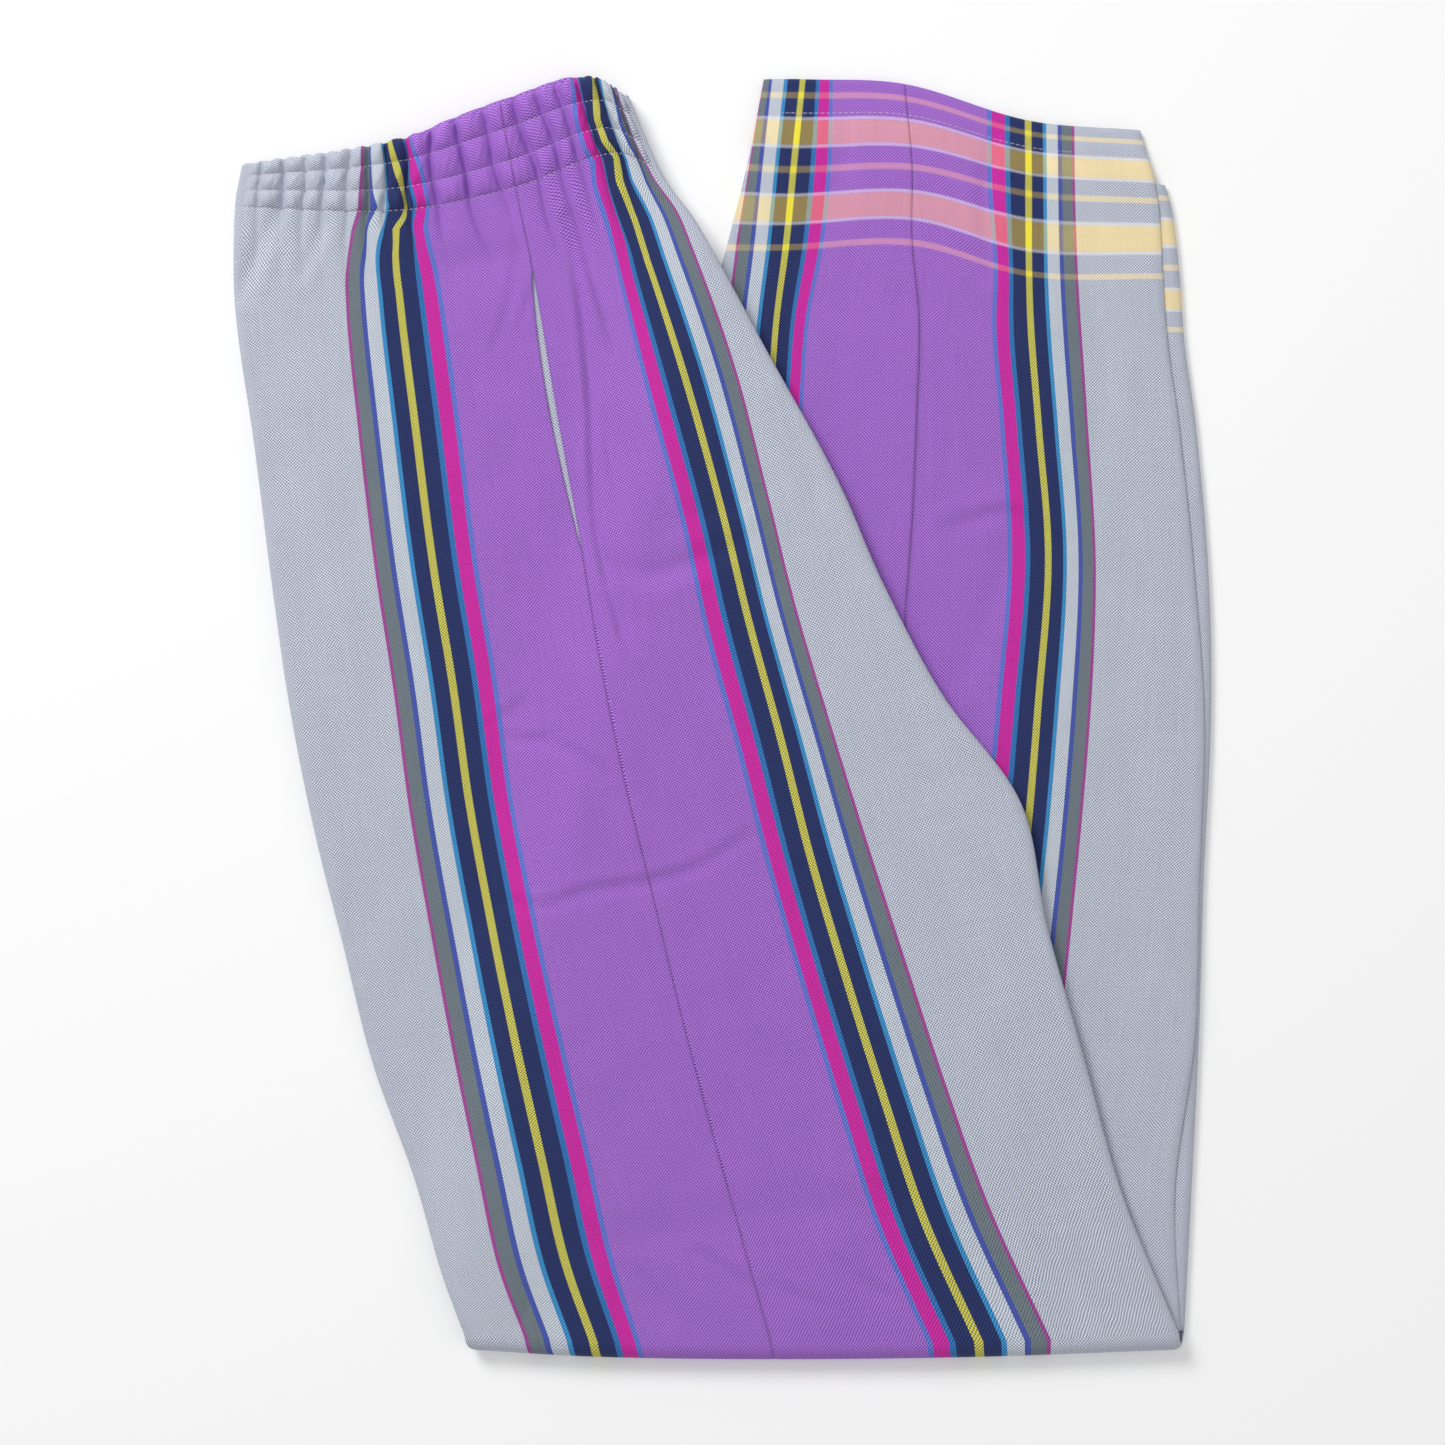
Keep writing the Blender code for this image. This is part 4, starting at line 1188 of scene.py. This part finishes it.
@dataclass
class HiddenLayers:
    """Layers that show only at the folded edges, the open ends and from below."""

    weave: bpy.types.Material
    waist_step: float = 1.2
    waist_columns: int = 84
    waist_depth: float = 3.0
    waist_drop: float = 4.2
    peep: float = 1.5
    peep_left: Spot = (-128.0, -114.0)
    peep_right: Spot = (-54.0, -66.0)
    peep_shares: tuple[float, ...] = (1.0, 0.8, 0.5, 0.2)
    tube_step: float = 4.0
    tube_columns: int = 44
    tube_depth: float = 2.0
    tube_waist_drop: float = 2.6
    fold_inset: float = 0.9
    fold_turns: int = 12
    leg_gap: float = 0.55
    leg_gap_width: float = 0.09
    inner_height: float = 4.25
    under_step: float = 3.0

    def layer(self, name: str, rows: Sequence[Row], depth: float, drop: float, lips: Sequence[float],
              count: int, nodes: Sequence[str], rests_on: Sequence[str]) -> None:
        """One covered sheet across both panels.

        Args:
            name: Piece's name.
            rows: Its rows.
            depth: Depth below the outer face.
            drop: Drop of its folded edges.
            lips: Angles of its folded edges.
            count: Flat columns in each half.
            nodes: Nodes that it stands for.
            rests_on: What it lies on; not used.
        """
        columns = whole_columns(count, lips)
        sheet = Sheet.lay(name, rows, lambda row: columns, depth, drop)
        piece = sheet.make(CLOTH)
        if nodes:
            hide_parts(*nodes)
        dress(piece, self.weave)
        declare(piece, sheet)

    def build(self) -> None:
        """All covered layers."""
        self.inner_waist()
        self.upper_tube()
        self.lower_tubes()
        self.knee_core()

    def inner_waist(self) -> None:
        """Far side of the waist casing, which shows over the near side's edge."""
        rows = [upper_row(along) for along in reversed(steps(0.0, STITCH_ROWS[-1], self.waist_step))]
        columns = whole_columns(self.waist_columns, (70.0, 35.0))
        sheet = Sheet.lay("inner_waist_cloth", rows, lambda row: columns, self.waist_depth, self.waist_drop)
        edge = sheet.points[-1, :, 0]
        peep = ease(edge, *self.peep_left) * ease(edge, *self.peep_right)
        for back, share in enumerate(self.peep_shares, start=1):
            sheet.points[-back, :, 1] += self.peep * peep * share
        piece = sheet.make(CASING)
        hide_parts("waist_casing_far")
        dress(piece, self.weave)
        declare(piece, sheet)

    def upper_tube(self) -> None:
        """Right leg's tube in the upper stretch, whose outer side is the underside."""
        rings = []
        stripes = []
        hems = []
        for along in reversed(steps(0.0, UPPER_STRETCH.length, self.tube_step)):
            row = upper_row(along)
            ring, stripe = self.tube_ring(row)
            rings.append(ring)
            stripes.append(stripe)
            hems.append(np.full(len(stripe), row.hem))
        sheet = Sheet("right_leg_upper_cloth", np.array(rings), np.array(stripes), np.array(hems))
        piece = sheet.make(CLOTH)
        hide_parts("hidden_layers_upper")
        dress(piece, self.weave)
        declare(piece, sheet)

    def tube_ring(self, row: Row) -> tuple[np.ndarray, np.ndarray]:
        """Open ring of a flattened tube: top from left to right, then the underside back again.

        Args:
            row: Row of the upper stretch.

        Returns:
            Points, and their places across the stripes.
        """
        waist = self.tube_waist_drop * float(ease(row.along, 64.0, 40.0))
        columns = whole_columns(self.tube_columns, ())
        top, stripe = lay_row(row, columns, self.tube_depth + waist, TURN_DROP)
        low = (LOWER_STACK + REST_GAP) * ease(past_edge(top[:, :2]), *STEP_BELOW)
        under = np.column_stack((top[:, :2], low))
        across = row.points[4] - row.points[0]
        across = np.append(across / np.linalg.norm(across), 0.0)
        folds = []
        for start, sign in ((0, -1.0), (-1, 1.0)):
            high = top[start, 2]
            base = under[start, 2]
            middle = 0.5 * (high + base)
            rise = 0.5 * (high - base)
            bend = []
            for turn in np.linspace(0.0, 1.0, self.fold_turns + 1)[1:-1]:
                angle = math.pi * turn
                pinch = 1.0 - self.leg_gap * math.exp(-((turn - 0.5) / self.leg_gap_width) ** 2)
                reach = (TURN_IN - self.fold_inset) * math.sin(angle) ** 0.8 * pinch
                spot = top[start] + across * sign * reach
                bend.append((spot[0], spot[1], middle + rise * math.cos(angle)))
            folds.append(np.array(bend))
        ring = np.vstack((top, folds[1], under[::-1], folds[0][::-1]))
        edge_l = np.full(len(folds[0]), stripe[0])
        edge_r = np.full(len(folds[1]), stripe[-1])
        return ring, np.concatenate((stripe, edge_r, stripe[::-1], edge_l))

    def lower_tubes(self) -> None:
        """Upper side of the left leg's lower tube, and the right leg's under side."""
        inner_rows = []
        for along in steps(0.5, LEFT_HEM_AT, self.under_step):
            points = LEFT_LEG_BELOW.section(along)
            inner_rows.append(Row(points, along, Way.TOP, LEFT_HEM_AT - along, 0.0,
                                  lambda spots, at: np.full(len(spots), self.inner_height),
                                  LEFT_LEG_BELOW.group_widths(along)))
        self.layer("left_leg_inner_cloth", inner_rows, 0.0, TURN_DROP, LIPS, 44, ("hidden_layers_lower",),
                   ("left_leg_front_cloth", "left_leg_back_cloth"))
        under_rows = []
        for along in steps(LEFT_HEM_AT - 60.0, RIGHT_LEG.length, self.under_step):
            drop = 3.75 - 3.1 * float(ease(along, LEFT_HEM_AT + 1.0, LEFT_HEM_AT + 14.0))
            if along < LEFT_HEM_AT + 1.0:
                drop = 4.9
            level = max(drop, 0.62)
            under_rows.append(Row(RIGHT_LEG.section(along), along, Way.TOP, RIGHT_LEG.length - along, 0.0,
                                  lambda spots, at, level=level: np.full(len(spots), level),
                                  RIGHT_LEG.group_widths(along)))
        self.layer("right_leg_under_cloth", under_rows, 0.0, 0.3, (60.0, 30.0), 40, (),
                   ("left_leg_inner_cloth",))

    def knee_core(self) -> None:
        """Inner turn of the knee fold, seen at the roll's two ends."""
        rows = [fold_row(math.radians(turn)) for turn in range(174, 0, -6)]
        self.layer("right_leg_fold_cloth", rows, 1.7, 2.6, (80.0, 40.0), 30, (), ("left_leg_inner_cloth",))


@dataclass
class Sewing:
    """Rows of stitches, copied from one modelled stitch."""

    thread: bpy.types.Material
    radius: float = 0.16
    pitch: float = STITCH
    template: np.ndarray = field(init=False)
    faces: list[tuple[int, ...]] = field(init=False)

    def __post_init__(self) -> None:
        """Models the one stitch: a short thread with rounded, sunken ends."""
        bpy.ops.object.select_all(action="DESELECT")
        bpy.ops.mesh.primitive_cylinder_add(vertices=6, radius=1.0, depth=1.0,
                                            rotation=(0.0, math.pi / 2, 0.0))
        model = bpy.context.object
        bpy.ops.object.transform_apply(location=False, rotation=True, scale=False)
        bpy.ops.object.mode_set(mode="EDIT")
        bpy.ops.mesh.select_all(action="SELECT")
        bpy.ops.mesh.bisect(plane_co=(0.25, 0.0, 0.0), plane_no=(1.0, 0.0, 0.0))
        bpy.ops.mesh.select_all(action="SELECT")
        bpy.ops.mesh.bisect(plane_co=(-0.25, 0.0, 0.0), plane_no=(1.0, 0.0, 0.0))
        bpy.ops.object.mode_set(mode="OBJECT")
        self.template = np.array([vert.co[:] for vert in model.data.vertices])
        self.faces = [tuple(face.vertices) for face in model.data.polygons]
        ends = np.abs(self.template[:, 0]) > 0.4
        self.template[ends, 1:] *= 0.45
        self.template[ends, 2] -= 1.3
        bpy.data.objects.remove(model, do_unlink=True)

    def row(self, name: str, lines: Sequence[np.ndarray], slot: str = "striped_cotton") -> None:
        """Sews along lines of cloth points.

        Args:
            name: Piece's name.
            lines: Each line's points, in millimetres.
            slot: Not used.
        """
        verts = []
        faces = []
        for line in lines:
            lengths = running(line)
            count = max(1, int(lengths[-1] / self.pitch))
            for index in range(count):
                ends = np.array((index + 0.14, index + 0.86)) * lengths[-1] / count
                a, b = (np.array([np.interp(end, lengths, line[:, axis]) for axis in range(3)])
                        for end in ends)
                run = b - a
                size = np.linalg.norm(run)
                if size < 0.05:
                    continue
                run = run / size
                side = np.cross((0.0, 0.0, 1.0), run)
                side /= max(np.linalg.norm(side), 1e-6)
                up = np.cross(run, side)
                placed = ((a + b) * 0.5 + up * self.radius * 0.7
                          + np.outer(self.template[:, 0] * size, run)
                          + np.outer(self.template[:, 1] * self.radius, side)
                          + np.outer(self.template[:, 2] * self.radius, up))
                start = len(verts) * len(self.template)
                verts.append(placed)
                faces.extend(tuple(corner + start for corner in face) for face in self.faces)
        mesh = bpy.data.meshes.new(name)
        mesh.from_pydata((np.vstack(verts) * MM).tolist(), [], faces)
        mesh.shade_smooth()
        piece = bpy.data.objects.new(name, mesh)
        bpy.context.scene.collection.objects.link(piece)
        dress(piece, self.thread)
        LOG.info("%s: %d stitches", name, len(verts))

    @staticmethod
    def across(row: Row, low: float, high: float, drop: float) -> np.ndarray:
        """Points of a line across a row, between two knots."""
        knot = np.linspace(low, high, 420)
        columns = Columns(knot, np.zeros(420), np.zeros(420))
        return lay_row(row, columns, 0.0, drop)[0]

    def build(self) -> None:
        """All sewing that shows."""
        waist = [self.across(upper_row(along), 0.02, 3.98, TURN_DROP) for along in STITCH_ROWS[1:]]
        self.row("waist_stitching", waist)
        hem = self.across(right_row(RIGHT_LEG.length - HEM_WIDTH), 0.02, 3.98, RIGHT_TURN_DROP)
        self.row("hem_stitching", [hem], "hem_cotton")


class Lamp(NamedTuple):
    """Soft square light, in metres and watts, aimed at the middle of the garment."""

    name: str
    place: tuple[float, float, float]
    size: float
    watts: float


LAMPS = (
    Lamp("key_light", (-1.2, 1.5, 1.7), 1.0, 40.0),
    Lamp("top_light", (0.2, 0.1, 2.4), 1.8, 8.0),
    Lamp("fill_light", (1.7, -1.3, 1.3), 1.4, 4.0),
)


@dataclass
class Studio:
    """Floor, lights and the camera above; floor sizes and reach of view are in metres."""

    floor_side: float = 6.0
    floor_drop: float = 0.0002
    surround: float = 0.36
    cloth_height: float = 8.0
    view_reach: float = 20.0

    @staticmethod
    def hang(lamp: Lamp) -> None:
        """Adds a light."""
        light = bpy.data.lights.new(lamp.name, "AREA")
        light.shape = "SQUARE"
        light.size = lamp.size
        light.energy = lamp.watts
        holder = bpy.data.objects.new(lamp.name, light)
        bpy.context.scene.collection.objects.link(holder)
        holder.location = lamp.place
        holder.rotation_euler = (-Vector(lamp.place)).to_track_quat("-Z", "Y").to_euler()

    def build(self) -> None:
        """Sets the floor, the lights and the camera."""
        bpy.ops.object.select_all(action="DESELECT")
        bpy.ops.mesh.primitive_plane_add(size=self.floor_side, location=(0.0, 0.0, -self.floor_drop))
        floor = bpy.context.object
        floor.name = "studio_floor"
        floor.data.materials.append(PaleFloor().material())
        for lamp in LAMPS:
            self.hang(lamp)
        world = bpy.data.worlds.new("studio")
        bpy.context.scene.world = world
        world.use_nodes = True
        background = world.node_tree.nodes["Background"]
        background.inputs[0].default_value = (1.0, 1.0, 1.0, 1.0)
        background.inputs[1].default_value = self.surround
        distance = PHOTO_SIDE * LENS / SENSOR
        lens = bpy.data.cameras.new("camera")
        lens.lens = LENS
        lens.sensor_width = SENSOR
        lens.clip_end = self.view_reach
        camera = bpy.data.objects.new("camera", lens)
        bpy.context.scene.collection.objects.link(camera)
        height = (distance + self.cloth_height) * MM
        camera.location = (PHOTO_MIDDLE[0] * MM, PHOTO_MIDDLE[1] * MM, height)
        bpy.context.scene.camera = camera
        bpy.context.scene.view_settings.view_transform = "Standard"


def main() -> None:
    """Builds the trousers and the studio, in order."""
    logging.basicConfig(level=logging.INFO, format="%(message)s")
    weave = KikoyWeave("kikoy_cotton").material()
    LeftLeg(weave).build()
    RightLeg(weave).build()
    HiddenLayers(weave).build()
    Sewing(SewingThread("pale_thread", (226, 214, 236)).material()).build()
    Studio().build()


if __name__ == "__main__":
    main()
